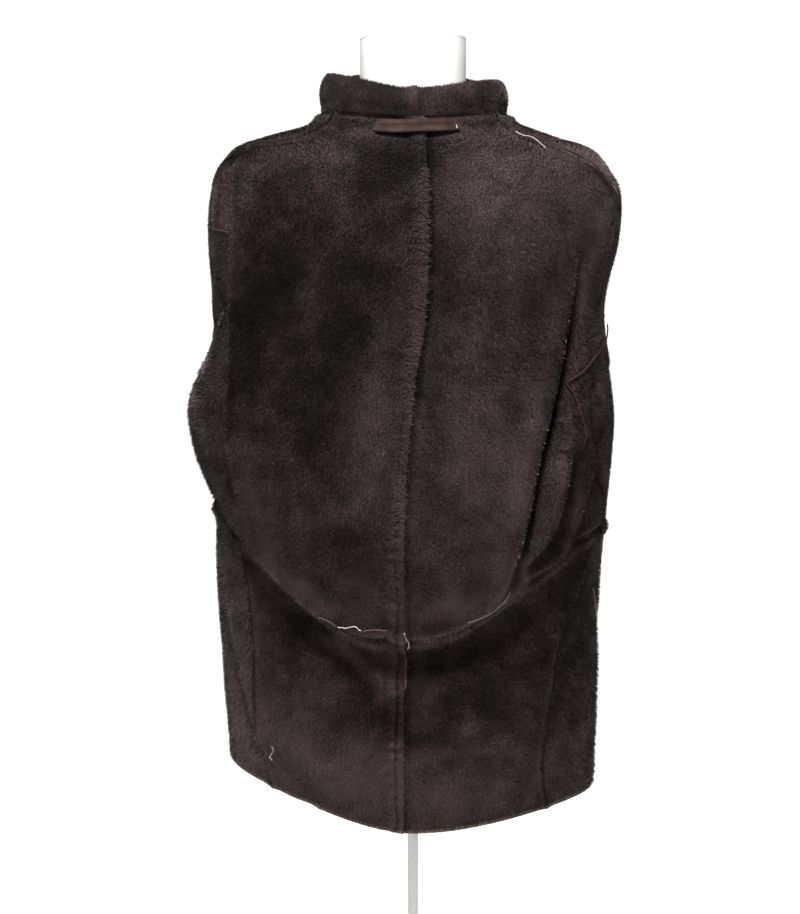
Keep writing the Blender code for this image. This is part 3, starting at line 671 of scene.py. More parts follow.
# %% Plain materials with fine detail
def speckled_material(name, colour, roughness, scale, change, stretch=(1, 1, 1), **constants):
    """A material whose colour and height vary a little with a noise that may be stretched."""
    made, tree, shader = new_material(name, roughness=roughness, **constants)
    stretched = output(tree, "ShaderNodeMapping", {"Vector": own_place(tree), "Scale": stretch})
    speckle = noise_at(tree, stretched, scale, 4.0)
    low, high = ((*(c * share for c in colour), 1) for share in (1 - change, 1 + change))
    tree.links.new(mixed(tree, speckle, low, high), shader.inputs["Base Color"])
    give_bump(tree, shader, speckle, 0.15, 0.0004)
    return made


THREAD = speckled_material("waxed_thread", (0.58, 0.54, 0.51), 0.6, 2500.0, 0.12)
TAN_THREAD = speckled_material("tan_thread", (0.15, 0.10, 0.08), 0.6, 2500.0, 0.2)
FORM_WHITE = speckled_material("form_white", (0.84, 0.84, 0.83), 0.5, 120.0, 0.015)
POLE_STEEL = speckled_material(
    "drawn_steel", (0.88, 0.86, 0.84), 0.4, 400.0, 0.08, stretch=(1, 1, 0.02), Metallic=0.4
)
BASE_WHITE = speckled_material("powder_coated_base", (0.82, 0.82, 0.82), 0.45, 900.0, 0.03)
print("thread, form and stand materials ready")

# %% [markdown]
# ## The nap tree
# Thousands of hairs follow one rule, so Geometry Nodes makes them. Points are scattered on a base
# surface, fewer where its `furred` value is low. Each point gets one tapered blade. A blade starts
# along the surface's normal, leans down the coat as gravity and brushing have left it, and strays a
# little at random. A slow noise turns the lean from place to place, which gives the patches that
# brushed fur has. Every hair keeps the normal of the surface below, so that light treats the nap as
# one soft surface and not as a heap of blades.

# %% Nap tree
SWIRL_NOISE = (26.0, 2.0)
LIT_TILT = 0.45
SHORTEST, LONGEST = 0.65, 1.25


def own_value(tree, name):
    return output(tree, "GeometryNodeInputNamedAttribute", {"Name": name}, data_type="FLOAT")


def stored(tree, geometry, name, value, kind="FLOAT"):
    inputs = {"Geometry": geometry, "Name": name, "Value": value}
    return output(tree, "GeometryNodeStoreNamedAttribute", inputs, data_type=kind, domain="POINT")


def any_number(tree, low, high, seed):
    return output(tree, "FunctionNodeRandomValue", {2: low, 3: high, "Seed": seed}, 1, data_type="FLOAT")


def build_nap_tree():
    tree, given, result = new_group(
        "nap_tree",
        "GeometryNodeTree",
        {
            "Geometry": (GEOMETRY, None),
            "Density": (FLOAT, 400000.0),
            "Length": (FLOAT, 0.006),
            "Width": (FLOAT, 0.0012),
            "Lean": (FLOAT, 0.9),
            "Stray": (FLOAT, 0.35),
            "Comb": (VECTOR, (0.0, 0.0, -1.0)),
            "Swirl": (FLOAT, 1.2),
            "Seed": (WHOLE, 1),
            "Material": (MATERIAL, None),
        },
        {"Geometry": GEOMETRY},
    )
    ask = given.outputs
    scatter = place(
        tree,
        "GeometryNodeDistributePointsOnFaces",
        {
            "Mesh": ask["Geometry"],
            "Density": math_node(tree, "MULTIPLY", ask["Density"], own_value(tree, "furred")),
            "Seed": ask["Seed"],
        },
        distribute_method="RANDOM",
    )
    normal = scatter.outputs["Normal"]
    position = output(tree, "GeometryNodeInputPosition")
    noise = noise_at(tree, position, *SWIRL_NOISE, "Color")
    swirl = vector_node(tree, "SUBTRACT", noise, (0.5, 0.5, 0.5))
    comb = vector_node(tree, "ADD", ask["Comb"], scaled(tree, swirl, ask["Swirl"]))
    into = vector_node(tree, "DOT_PRODUCT", comb, normal, socket=1)
    flat = vector_node(tree, "NORMALIZE", vector_node(tree, "SUBTRACT", comb, scaled(tree, normal, into)))
    leaning = vector_node(tree, "ADD", normal, scaled(tree, flat, ask["Lean"]))
    ends = {0: (-1, -1, -1), 1: (1, 1, 1), "Seed": ask["Seed"]}
    stray = output(tree, "FunctionNodeRandomValue", ends, data_type="FLOAT_VECTOR")
    hair = vector_node(tree, "ADD", leaning, scaled(tree, stray, ask["Stray"]))
    hair = vector_node(tree, "NORMALIZE", hair)
    axes = {"Primary Axis": hair, "Secondary Axis": normal}
    turn = output(tree, "FunctionNodeAxesToRotation", axes, primary_axis="X", secondary_axis="Z")
    lit = vector_node(tree, "ADD", normal, scaled(tree, hair, LIT_TILT))
    points = stored(tree, scatter.outputs["Points"], "nap_normal", lit, "FLOAT_VECTOR")
    points = stored(tree, points, "strand", any_number(tree, 0.0, 1.0, 7))
    # A blade is a triangle one long that stands on its base, from 0 at its root to 1 at its tip.
    blade = output(tree, "GeometryNodeMeshCircle", {"Vertices": 3, "Radius": 1.0}, fill_type="NGON")
    to_unit = {"Geometry": blade, "Translation": (1 / 3, 0, 0), "Scale": (2 / 3, 1 / math.sqrt(3), 1)}
    blade = output(tree, "GeometryNodeTransform", to_unit)
    blade = stored(tree, blade, "tip", output(tree, "ShaderNodeSeparateXYZ", {0: position}))
    length = math_node(tree, "MULTIPLY", ask["Length"], any_number(tree, SHORTEST, LONGEST, 3))
    length = math_node(tree, "MULTIPLY", length, own_value(tree, "nap_long"))
    size = output(tree, "ShaderNodeCombineXYZ", {0: length, 1: ask["Width"], 2: 1.0})
    on_points = {"Points": points, "Instance": blade, "Rotation": turn, "Scale": size}
    return finish_tree(tree, given, result, output(tree, "GeometryNodeInstanceOnPoints", on_points))


NAP_TREE = build_nap_tree()
print("nap tree:", len(NAP_TREE.nodes), "nodes")

# %% [markdown]
# ## From a grid of points to a mesh
# Every panel starts as a grid of points. `sheet_mesh` closes two such grids into a thin wall: the
# side towards the fur, the leather side, and the cut edge between them, each with its own material.
# `grow` runs the nap tree on the fur side and keeps the result as a plain mesh.

# %% Mesh helpers
FURRED, SKIN, CUT_EDGE, ARMHOLE_EDGE = 0, 1, 2, 3
PANEL_MATERIALS = (UNDERFUR_IN_PAINTED_SHADE, LEATHER, TAN_LEATHER, STRIP_LEATHER)
CLOTH_SHARP, SOLID_SHARP = 60, 35


def mesh_from(name, points, faces, marks=None):
    mesh = bpy.data.meshes.new(name)
    mesh.from_pydata(points.reshape(-1, 3).tolist(), [], faces)
    if marks is not None:
        mesh.polygons.foreach_set("material_index", np.asarray(marks, np.int32))
    mesh.shade_smooth()
    return mesh


def add_piece(name, mesh, *materials):
    made = bpy.data.objects.new(name, mesh)
    bpy.context.scene.collection.objects.link(made)
    for material in materials:
        mesh.materials.append(material)
    return made


def closed_mesh(name, points, faces, marks=None, merge=None, sharp=None):
    """A closed mesh whose faces point out, with points that are nearer than merge made one."""
    mesh = mesh_from(name, points, faces, marks)
    builder = bmesh.new()
    builder.from_mesh(mesh)
    if merge:
        bmesh.ops.remove_doubles(builder, verts=builder.verts, dist=merge)
        bmesh.ops.dissolve_degenerate(builder, edges=builder.edges, dist=merge)
    bmesh.ops.recalc_face_normals(builder, faces=builder.faces)
    if builder.calc_volume(signed=True) < 0:
        bmesh.ops.reverse_faces(builder, faces=builder.faces)
    builder.to_mesh(mesh)
    builder.free()
    if sharp:
        mesh.set_sharp_from_angle(angle=math.radians(sharp))
    return mesh


def tube_faces(rows, columns, ends=True):
    """Quads between rings that close on themselves, and a face over each end."""
    faces = [tuple(range(columns)), tuple(range((rows - 1) * columns, rows * columns))] if ends else []
    for i, j in np.ndindex(rows - 1, columns):
        low, high, k = i * columns, (i + 1) * columns, (j + 1) % columns
        faces.append((low + j, low + k, high + k, high + j))
    return faces


def grid_faces(rows, columns, offset=0, flip=False, ring=False):
    """Quads of a grid of points. A ring joins the last row to the first."""
    faces = []
    for i in range(rows if ring else rows - 1):
        low, high = offset + i * columns, offset + ((i + 1) % rows) * columns
        for j in range(columns - 1):
            face = (low + j, low + j + 1, high + j + 1, high + j)
            faces.append(face[::-1] if flip else face)
    return faces


def sheet_mesh(name, fur, skin, ring=False):
    """A closed thin wall between two like grids of points."""
    rows, columns = fur.shape[:2]
    under = rows * columns
    outer = grid_faces(rows, columns, ring=ring)
    inner = grid_faces(rows, columns, under, flip=True, ring=ring)
    edges = []
    for i in range(rows if ring else rows - 1):
        low, high = i * columns, (i + 1) % rows * columns
        edges += [(high, low), (low + columns - 1, high + columns - 1)]
    if not ring:
        last = (rows - 1) * columns
        for j in range(columns - 1):
            edges += [(j, j + 1), (last + j + 1, last + j)]
    rim = [(a, a + under, b + under, b) for a, b in edges]
    marks = [FURRED] * len(outer) + [SKIN] * len(inner) + [CUT_EDGE] * len(rim)
    points = np.concatenate([fur.reshape(-1, 3), skin.reshape(-1, 3)])
    return closed_mesh(name, points, outer + inner + rim, marks, sharp=CLOTH_SHARP)


def set_values(mesh, name, values):
    values = np.asarray(values, np.float32).ravel()
    mesh.attributes.new(name, "FLOAT", "POINT").data.foreach_set("value", values)


def plain_mesh(holder):
    """The mesh that an object's modifiers make. The object itself goes."""
    graph = bpy.context.evaluated_depsgraph_get()
    made = bpy.data.meshes.new_from_object(
        holder.evaluated_get(graph), preserve_all_data_layers=True, depsgraph=graph
    )
    bpy.data.objects.remove(holder)
    return made


def run_tree(holder, tree, values):
    """Runs a geometry tree on an object, with its inputs by name, and returns a plain mesh."""
    modifier = holder.modifiers.new("Run", "NODES")
    modifier.node_group = tree
    for socket in tree.interface.items_tree:
        if socket.in_out == "INPUT" and socket.name in values:
            modifier[socket.identifier] = values[socket.name]
    return plain_mesh(holder)

SEEDS = itertools.count(11)
QUICK_SHARE = 1.0


def grow(name, surface, out, furred, long, light, material, density, ring=False, **sizes):
    """The nap on a grid of points whose outward directions are given, as one object of single hairs."""
    base = mesh_from(name, surface, grid_faces(*surface.shape[:2], ring=ring))
    outwards = out.reshape(-1, 3)
    if sum(face.normal.dot(outwards[face.vertices[0]].tolist()) for face in base.polygons) < 0:
        base.flip_normals()
    for key, values in (("furred", furred), ("nap_long", long), ("nap_light", light)):
        set_values(base, key, values)
    asked = {key.capitalize(): value for key, value in sizes.items()}
    asked.update({"Density": density * QUICK_SHARE, "Seed": next(SEEDS), "Material": material})
    hairs = run_tree(add_piece(name, base), NAP_TREE, asked)
    normals = np.empty(len(hairs.vertices) * 3, np.float32)
    hairs.attributes["nap_normal"].data.foreach_get("vector", normals)
    hairs.shade_smooth()
    hairs.normals_split_custom_set_from_vertices(unit(normals.reshape(-1, 3)))
    hairs.name = name
    return add_piece(name, hairs)


print("mesh helpers ready")

# %% [markdown]
# ## Where the nap is long, and where light and shade are painted on it
# The table names the larger light and dark patches by place, and how wide, how tall and how strong each
# is. They are mostly painted light and shade: sheen where the nap lies towards the lamps, painted
# highlights along the billow's foot and the creases' lit edges, and painted shadow under the billow.
# Along the seam allowances the wool escaped the clipping, so it is longer there and its tips are paler.

# %% Patches of the nap
Patch = namedtuple("Patch", "degrees height across up strength")
# Patches of painted light and shade: sheen where the nap lies towards the lamps, painted highlights along the
# billow's foot and the creases' lit edges, painted shadow under the billow.
PAINTED_LIGHT_AND_TONE_PATCHES = [Patch(*row) for row in (
    (50, 1.355, 0.040, 0.020, 0.25),
    (30, 1.385, 0.050, 0.010, 0.25),
    (-42, 1.385, 0.050, 0.012, 0.40),
    (-62, 1.350, 0.030, 0.022, 0.35),
    (-78, 1.365, 0.050, 0.026, 0.45),
    (-75, 1.280, 0.040, 0.060, 0.35),
    (-60, 1.180, 0.018, 0.090, 0.25),
    (0, 1.345, 0.055, 0.026, -0.34),
    (14, 1.345, 0.040, 0.024, -0.24),
    (10, 1.290, 0.030, 0.030, -0.22),
    (-8, 1.300, 0.024, 0.030, -0.24),
    (-42, 1.345, 0.045, 0.018, 0.28),
    (38, 1.195, 0.022, 0.050, 0.30),
    (47, 1.135, 0.020, 0.030, 0.22),
    (52, 1.230, 0.045, 0.140, -0.36),
    (58, 1.100, 0.030, 0.110, -0.22),
    (26, 1.200, 0.050, 0.110, -0.34),
    (44, 1.150, 0.040, 0.090, -0.26),
    (20, 1.310, 0.030, 0.030, -0.15),
    (30, 1.060, 0.040, 0.070, -0.30),
    (14, 1.060, 0.020, 0.080, 0.30),
    (22, 1.180, 0.030, 0.060, -0.20),
    (50, 0.975, 0.030, 0.050, 0.34),
    (20, 0.935, 0.035, 0.025, -0.26),
    (46, 0.905, 0.022, 0.016, 0.60),
    (36, 0.884, 0.022, 0.012, 0.60),
    (29, 0.866, 0.020, 0.010, 0.55),
    (15, 0.870, 0.030, 0.014, 0.28),
    (-20, 1.310, 0.060, 0.030, 0.15),
    (-40, 1.270, 0.045, 0.040, 0.20),
    (-12, 1.240, 0.020, 0.050, -0.18),
    (-6, 1.030, 0.014, 0.060, -0.26),
    (-40, 1.120, 0.040, 0.040, -0.10),
    (-21, 1.040, 0.045, 0.060, 0.32),
    (-31, 0.990, 0.016, 0.050, 0.50),
    (-38, 1.045, 0.012, 0.060, 0.40),
    (-16, 0.868, 0.045, 0.016, 0.46),
    (-29, 0.908, 0.020, 0.018, 0.55),
    (-29, 0.880, 0.016, 0.010, 0.50),
    (-37, 0.906, 0.018, 0.012, 0.60),
    (-44, 1.015, 0.012, 0.024, 0.50),
    (-52, 1.130, 0.014, 0.036, 0.35),
    (30, 0.825, 0.030, 0.012, 0.30),
    (31, 0.797, 0.016, 0.012, -0.28),
    (22, 0.778, 0.016, 0.014, -0.34),
    (13, 0.752, 0.016, 0.016, -0.34),
    (21, 0.812, 0.014, 0.012, 0.26),
    (11, 0.795, 0.014, 0.018, 0.26),
    (16, 0.750, 0.045, 0.020, -0.30),
    (-20, 0.765, 0.030, 0.020, -0.22),
    (-48, 0.700, 0.020, 0.030, 0.26),
    (48, 0.835, 0.035, 0.034, -0.34),
    (50, 0.722, 0.050, 0.045, 0.46),
    (68, 0.770, 0.030, 0.090, 0.36),
    (26, 0.678, 0.060, 0.030, 0.38),
    (-12, 0.657, 0.080, 0.024, 0.38),
    (2, 0.701, 0.035, 0.008, 0.26),
    (-14, 0.712, 0.030, 0.008, 0.30),
    (-26, 0.738, 0.022, 0.010, 0.26),
    (20, 0.715, 0.035, 0.008, 0.18),
    (-8, 0.728, 0.035, 0.010, -0.24),
    (-26, 0.800, 0.060, 0.040, -0.30),
    (-40, 0.740, 0.045, 0.035, -0.14),
    (-66, 0.830, 0.050, 0.080, -0.34),
    (-62, 1.050, 0.030, 0.100, -0.16),
    (100, 1.150, 0.050, 0.080, 0.12),
    (140, 1.230, 0.050, 0.070, 0.18),
    (150, 1.060, 0.060, 0.060, -0.20),
    (120, 0.820, 0.050, 0.080, 0.15),
    (-125, 1.200, 0.060, 0.080, 0.15),
    (-150, 1.080, 0.050, 0.070, -0.18),
    (-118, 0.800, 0.060, 0.060, 0.15),
)]
CURLY = Patch(13, 1.265, 0.045, 0.075, 0.20)
HIGH_FROM, HIGH_FADE = 1.02, 0.12
CLIP_SHARE, CLIP_FROM, CLIP_FADE = 0.42, 1.22, 0.09
ALLOWANCE_MIDDLE, ALLOWANCE_WIDTH, NECK_WIDTH = 0.007, 0.009, 0.007
MIDDLE_LONG, MIDDLE_LONG_HIGH, SEAM_LONG = 0.10, 0.40, 0.25
MIDDLE_PALE, MIDDLE_PALE_HIGH, SEAM_PALE = 0.22, 0.10, 0.14
MIDDLE_PAINTED_SHADOW, SEAM_PAINTED_SHADE, SLIT_PAINTED_SHADE = Ridge(0.42, 0.0035), Ridge(0.75, 0.0016), Ridge(0.50, 0.0018)
CREASE_PAINTED_SHEEN = Ridge(0.10, 0.006)


def patch_share(patch, angle, z, radius):
    aside = (angle - math.radians(patch.degrees)) * radius
    return patch.strength * bump(aside, patch.across) * bump(z - patch.height, patch.up)


def nap_values(angle, level):
    """(length, lightness) of the nap at points of the coat. The lightness carries painted light and shade as
    well as paler tips.
    """
    point, radius = ring_point(angle, level)
    z = point[..., 2]
    middle, side, waist, neck = seam_distances(angle, level)
    high = fade((z - HIGH_FROM) / HIGH_FADE)
    on_middle = np.exp(-(((middle - ALLOWANCE_MIDDLE) / ALLOWANCE_WIDTH) ** 4))
    on_waist, on_neck = bump(waist + WAIST_DROP, WAIST_RIDGE.width), bump(neck - NECK_DROP, NECK_WIDTH)
    on_seam = np.maximum.reduce([bump(side, SIDE_RIDGE.width), on_waist, on_neck])
    long = 1 + on_middle * (MIDDLE_LONG + MIDDLE_LONG_HIGH * high) + SEAM_LONG * on_seam
    long = long + patch_share(CURLY, angle, z, radius)
    long = long * (1 - CLIP_SHARE * fade((z - CLIP_FROM) / CLIP_FADE))
    # The patches add painted light and shade to the nap's lightness.
    light = 0.5 + sum(patch_share(patch, angle, z, radius) for patch in PAINTED_LIGHT_AND_TONE_PATCHES)
    light = light + on_middle * (MIDDLE_PALE + MIDDLE_PALE_HIGH * high) + SEAM_PALE * on_seam
    # Painted shade in the slit of the low centre-back ridge.
    light = light - (1 - high) * rise_of(SLIT_PAINTED_SHADE, middle - slit_place(z))
    # Painted shadow: a dark strip just right of the centre-back ridge, where its step throws shade.
    painted_shadow_beside = rise_of(MIDDLE_PAINTED_SHADOW, np.minimum(middle, 0) + MIDDLE_PAINTED_SHADOW.width) * (middle < 0)
    light = light - 0.5 * (1 + high) * painted_shadow_beside
    # Painted shade: a dark line down the side seams and, half as strong, along the waist seam.
    light = light - np.maximum(rise_of(SEAM_PAINTED_SHADE, side), 0.5 * rise_of(SEAM_PAINTED_SHADE, waist))
    # Painted sheen: the nap is drawn lighter along each crease's edge.
    for crease in CREASES:
        past, strength = crease_place(crease, angle, level, radius)
        light = light + strength * rise_of(CREASE_PAINTED_SHEEN, past)
    return long, light


print(len(PAINTED_LIGHT_AND_TONE_PATCHES), "patches in the nap")

# %% [markdown]
# ## Grids for the panels
# A panel is a part of the surface between two seams and two levels. Its columns crowd together near
# its edges, where the seam ridges need fine steps, and its rows lie evenly up the back.

# %% Panel grids
WALL = 0.0060
PILE = 0.0034
LEAST_WALL = 0.0009
SEAM_GAP = 0.0003
FRONT_GAP = 0.0030
CROWDING = 0.65
COLUMNS = {"inner": 58, "outer": 26, "front": 60}
ROWS = {"bodice": 112, "skirt": 50}
MEASURED_AT, MEASURE_STEPS = 30, 400


def crowded(count):
    """Shares from 0 to 1 that lie closer together near both ends."""
    share = np.linspace(0, 1, count)
    return (1 - CROWDING) * share + CROWDING * fade(share)


def even_levels(low, high, count):
    """Levels whose steps are alike in metres, apart from the crowding at both ends."""
    fine = np.linspace(low, high, MEASURE_STEPS)
    run = distance_along(ring_point(np.full(fine.shape, math.radians(MEASURED_AT)), fine)[0])
    return np.interp(crowded(count) * run[-1], run, fine)


def spread(start, end, count):
    return start[:, None] + (end - start)[:, None] * crowded(count)[None, :]


def panel_angles(part, side, levels):
    """Angles of a panel's columns, a row for each level."""
    seam = line_angle(side + "_seam", levels)
    if part == "back":
        middle, crease = line_angle("middle", levels), line_angle(side + "_crease", levels)
        outer = spread(crease, seam, COLUMNS["outer"])
        return np.concatenate([spread(middle, crease, COLUMNS["inner"]), outer[:, 1:]], 1)
    return spread(seam, np.full(levels.shape, SIGN[side] * math.pi), COLUMNS["front"])


PANEL_LEVELS = {
    "bodice": even_levels(LEVEL["waist"], TOP_LEVEL, ROWS["bodice"]),
    "skirt": even_levels(LEVEL["hem"], LEVEL["waist"], ROWS["skirt"]),
}


def panel_layers(part, side, levels):
    """(angles, levels, fur side, leather side, outward directions) of a panel."""
    angle = panel_angles(part, side, levels)
    level = np.broadcast_to(levels[:, None], angle.shape)
    point = coat(angle, level)
    around, _, out = directions(coat, angle, level)
    rise = np.maximum(seam_raise(angle, level) + lumps(point) - PILE, LEAST_WALL - WALL)
    fur, skin = point + out * rise[..., None], point - out * WALL
    if part == "front":
        back_off = SIGN[side] * around[:, -1] * FRONT_GAP / 2
        fur[:, -1] -= back_off
        skin[:, -1] -= back_off
    return angle, level, fur, skin, out


print("bodice and skirt rows:", ROWS)

# %% [markdown]
# ## Armholes
# Seen from its side, an armhole is an oval that leans back at its foot. It is cut out of the bodice
# with a Boolean, as shears would, and the nap keeps clear of it. The sleeve's head rolls out of it.

# %% Armholes
Armhole = namedtuple("Armhole", "side middle_y middle_z half_y half_z swing sleeve_in")
ARMHOLES = {
    "left": Armhole(1, -0.008, 1.250, 0.052, 0.106, 0.008, 0.000),
    "right": Armhole(-1, 0.012, 1.238, 0.048, 0.116, 0.022, 0.006),
}
CUTTER_REACH = (0.150, 0.300)
RING_POINTS = 72


def armhole_ring(armhole, share_y, share_z, inset=0.0):
    """(y, z) points round an armhole's outline, from its top."""
    turn = np.linspace(0, 2 * math.pi, RING_POINTS, endpoint=False)
    y = armhole.middle_y - armhole.swing * np.cos(turn) + (armhole.half_y * share_y - inset) * np.sin(turn)
    z = armhole.middle_z + (armhole.half_z * share_z - inset) * np.cos(turn)
    return y, z


def inside_armhole(armhole, points):
    """True where a point lies in the armhole's oval, seen from the side."""
    high = (points[..., 2] - armhole.middle_z) / armhole.half_z
    wide = (points[..., 1] - armhole.middle_y + armhole.swing * high) / armhole.half_y
    return (high**2 + wide**2 < 1) & (points[..., 0] * armhole.side > CUTTER_REACH[0])


def cut_armhole(piece, side):
    """The mesh of a bodice panel with the armhole cut out of it."""
    armhole = ARMHOLES[side]
    y, z = armhole_ring(armhole, 1, 1)
    rings = np.array([np.stack([np.full(y.shape, armhole.side * x), y, z], -1) for x in CUTTER_REACH])
    faces = tube_faces(len(rings), RING_POINTS)
    mesh = closed_mesh("armhole_cutter", rings, faces, [ARMHOLE_EDGE] * len(faces))
    cutter = add_piece("armhole_cutter", mesh, *PANEL_MATERIALS)
    cut = piece.modifiers.new("Armhole", "BOOLEAN")
    cut.operation, cut.solver, cut.object = "DIFFERENCE", "EXACT", cutter
    made = plain_mesh(piece)
    bpy.data.objects.remove(cutter)
    return made


print("armholes", [round(a.half_z * 2000) for a in ARMHOLES.values()], "mm tall")

# %% [markdown]
# ## The eight body panels
# Two backs, two fronts and four skirts make the body. Each is its own thin sheet with its own nap, and
# each stands for the plain solid of the same name. We say how large each was cut, and compare that
# with what we measure: cloth that has been hung keeps its area.

# %% Body panels
Cut = namedtuple("Cut", "width length area")
CUTS = {
    "back_bodice": Cut(0.36, 0.62, 0.158),
    "front_bodice": Cut(0.38, 0.52, 0.150),
    "back_skirt": Cut(0.24, 0.26, 0.045),
    "front_skirt": Cut(0.46, 0.28, 0.104),
    "sleeve": Cut(0.36, 0.52, 0.125),
    "collar": Cut(0.29, 0.055, 0.0145),
}
NAP_DENSITY = {"back": 980000.0, "front": 470000.0}
NAP_SIZE = {"length": 0.0046, "width": 0.00080}
NAP_LIE = {"lean": 0.60, "stray": 0.50, "swirl": 0.80}
HEM_BARE, HEM_ROWS = 0.045, 2


def set_in_place(piece, node=None):
    """The piece rides on the one body, and may stand in for a plain solid."""
    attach(piece, BODY)
    if node:
        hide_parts(node)


def declare_sheet(sheet, nap, node, cut):
    """Both pieces in place, and how large the sheet was cut."""
    set_in_place(sheet, node)
    set_in_place(nap)
    area = sum(face.area for face in sheet.data.polygons) / 2
    print(f"{node}: {area:.3f} m2 against a cut of {cut.area} m2, {len(nap.data.polygons)} hairs")


for side, part, half in itertools.product(("left", "right"), ("back", "front"), ("bodice", "skirt")):
    node = f"{part}_{half}_{side}"
    name = f"coat_{node}"
    angle, level, fur, skin, out = panel_layers(part, side, PANEL_LEVELS[half])
    long, light = nap_values(angle, level)
    panel = add_piece(name, sheet_mesh(name, fur, skin), *PANEL_MATERIALS)
    set_values(panel.data, "nap_light", [light, light])
    if half == "skirt":
        furred = fade((level - HEM_BARE) / HEM_BARE)
        for face in panel.data.polygons[: HEM_ROWS * (angle.shape[1] - 1)]:
            face.material_index = CUT_EDGE
    else:
        furred = 1.0 - inside_armhole(ARMHOLES[side], fur)
        panel = add_piece(name, cut_armhole(panel, side))
    nap = grow(f"nap_{node}", fur, out, furred, long, light, NAP, NAP_DENSITY[part], **NAP_SIZE, **NAP_LIE)
    declare_sheet(panel, nap, node, CUTS[f"{part}_{half}"])

# %% [markdown]
# ## Sleeves
# The sleeves stayed inside when the coat was turned, so each shows only its rolled head in the armhole
# and then hangs as a flattened tube between the form and the body, with the fur on the tube's inside.
# Its rings start on the armhole's outline, roll outwards a little, dive in, and end at the cuff.

# %% Sleeve rings
Lip = namedtuple("Lip", "out share_y share_z")
LIPS = (
    Lip(0.0000, 1.00, 1.00),
    Lip(0.0030, 0.87, 0.94),
    Lip(0.0035, 0.70, 0.86),
    Lip(-0.0005, 0.54, 0.78),
    Lip(-0.0120, 0.44, 0.72),
)
Tube = namedtuple("Tube", "x half_x y half_y z half_z")
TUBES = (
    Tube(0.1950, 0.0100, 0.003, 0.023, 1.200, 0.066),
    Tube(0.1850, 0.0120, -0.004, 0.032, 1.140, 0.046),
    Tube(0.1790, 0.0125, -0.010, 0.042, 1.080, 0.022),
    Tube(0.1765, 0.0125, -0.014, 0.049, 1.020, 0.004),
    Tube(0.1755, 0.0125, -0.014, 0.052, 0.950, 0.000),
    Tube(0.1750, 0.0120, -0.012, 0.050, 0.870, 0.000),
    Tube(0.1745, 0.0115, -0.010, 0.048, 0.780, 0.000),
)
HEAD_STEPS = TUBE_STEPS = 5
SLEEVE_DENSITY, SLEEVE_LIGHT, SLEEVE_SHOWN, SLEEVE_FADE = 330000.0, 0.45, 0.46, 0.1
SIDE_ANGLES, SIDE_COLUMNS, SIDE_ROWS = (25, 155), 120, 80


def side_surface(side):
    """A tree of the coat's uncut side, to find where a line along X meets it."""
    levels = np.linspace(LEVEL["bulge"], LEVEL["shoulder_top"], SIDE_ROWS)
    angles = np.radians(np.linspace(*SIDE_ANGLES, SIDE_COLUMNS)) * ARMHOLES[side].side
    grid = coat(angles[None, :], levels[:, None])
    return BVHTree.FromPolygons([tuple(p) for p in grid.reshape(-1, 3)], grid_faces(*grid.shape[:2]))


def sleeve_rings(side):
    """The sleeve's fur surface: a row round the tube for each ring point, a column for each ring."""
    armhole, tree = ARMHOLES[side], side_surface(side)
    turn = np.linspace(0, 2 * math.pi, RING_POINTS, endpoint=False)
    start_x = armhole.side * CUTTER_REACH[1]
    rings = []
    for row, lip in enumerate(LIPS):
        y, z = armhole_ring(armhole, lip.share_y, lip.share_z, inset=0.0 if row else SEAM_GAP)
        hits = (tree.ray_cast(Vector((start_x, *at)), Vector((-armhole.side, 0, 0)))[0] for at in zip(y, z))
        x = np.array([abs(hit.x) for hit in hits]) + lip.out
        rings.append(np.stack([armhole.side * x, y, z], -1))
    for tube in TUBES:
        x = tube.x - armhole.sleeve_in - tube.half_x * np.cos(turn)
        y, z = tube.y + tube.half_y * np.sin(turn), tube.z + tube.half_z * np.cos(turn)
        rings.append(np.stack([armhole.side * x, y, z], -1))
    head = np.linspace(0, len(LIPS) - 1, HEAD_STEPS * (len(LIPS) - 1) + 1)
    arm = np.linspace(len(LIPS) - 1, len(rings) - 1, TUBE_STEPS * len(TUBES) + 1)[1:]
    rings = np.array(rings)
    return np.stack([smooth(rings, step) for step in np.concatenate([head, arm])], 1)


for side, armhole in ARMHOLES.items():
    surface = sleeve_rings(side)
    along = np.gradient(surface, axis=1)
    round_tube = np.roll(surface, -1, axis=0) - np.roll(surface, 1, axis=0)
    out = unit(np.cross(along, round_tube) * armhole.side)
    out[:, 0] = (armhole.side, 0, 0)
    fur, skin = surface - out * PILE, surface - out * WALL
    name = f"sleeve_{side}"
    sleeve = add_piece(f"coat_{name}", sheet_mesh(name, fur, skin, ring=True), UNDERFUR_IN_PAINTED_SHADE, LEATHER, TAN_LEATHER)
    set_values(sleeve.data, "nap_light", np.full(len(sleeve.data.vertices), SLEEVE_LIGHT))
    ones = np.ones(fur.shape[:2])
    shown = ones * fade((SLEEVE_SHOWN - np.linspace(0, 1, fur.shape[1])) / SLEEVE_FADE)
    nap = grow(
        f"nap_{name}", fur, out, shown, ones, SLEEVE_LIGHT * ones, NAP, SLEEVE_DENSITY, ring=True, **NAP_SIZE
    )
    declare_sheet(sleeve, nap, name, CUTS["sleeve"])

# %% [markdown]
# ## The collar
# The stand collar is a doubled band: fur outside, rolled over a soft edge, and fur again inside. It
# is closed along the neck seam and splits in a slit at the centre back, where its own seam lies. Its
# wool was clipped with the band curved, so the nap parts into fine upright ribs. The ribs are a small
# wave added round the band, and the nap is combed upwards.

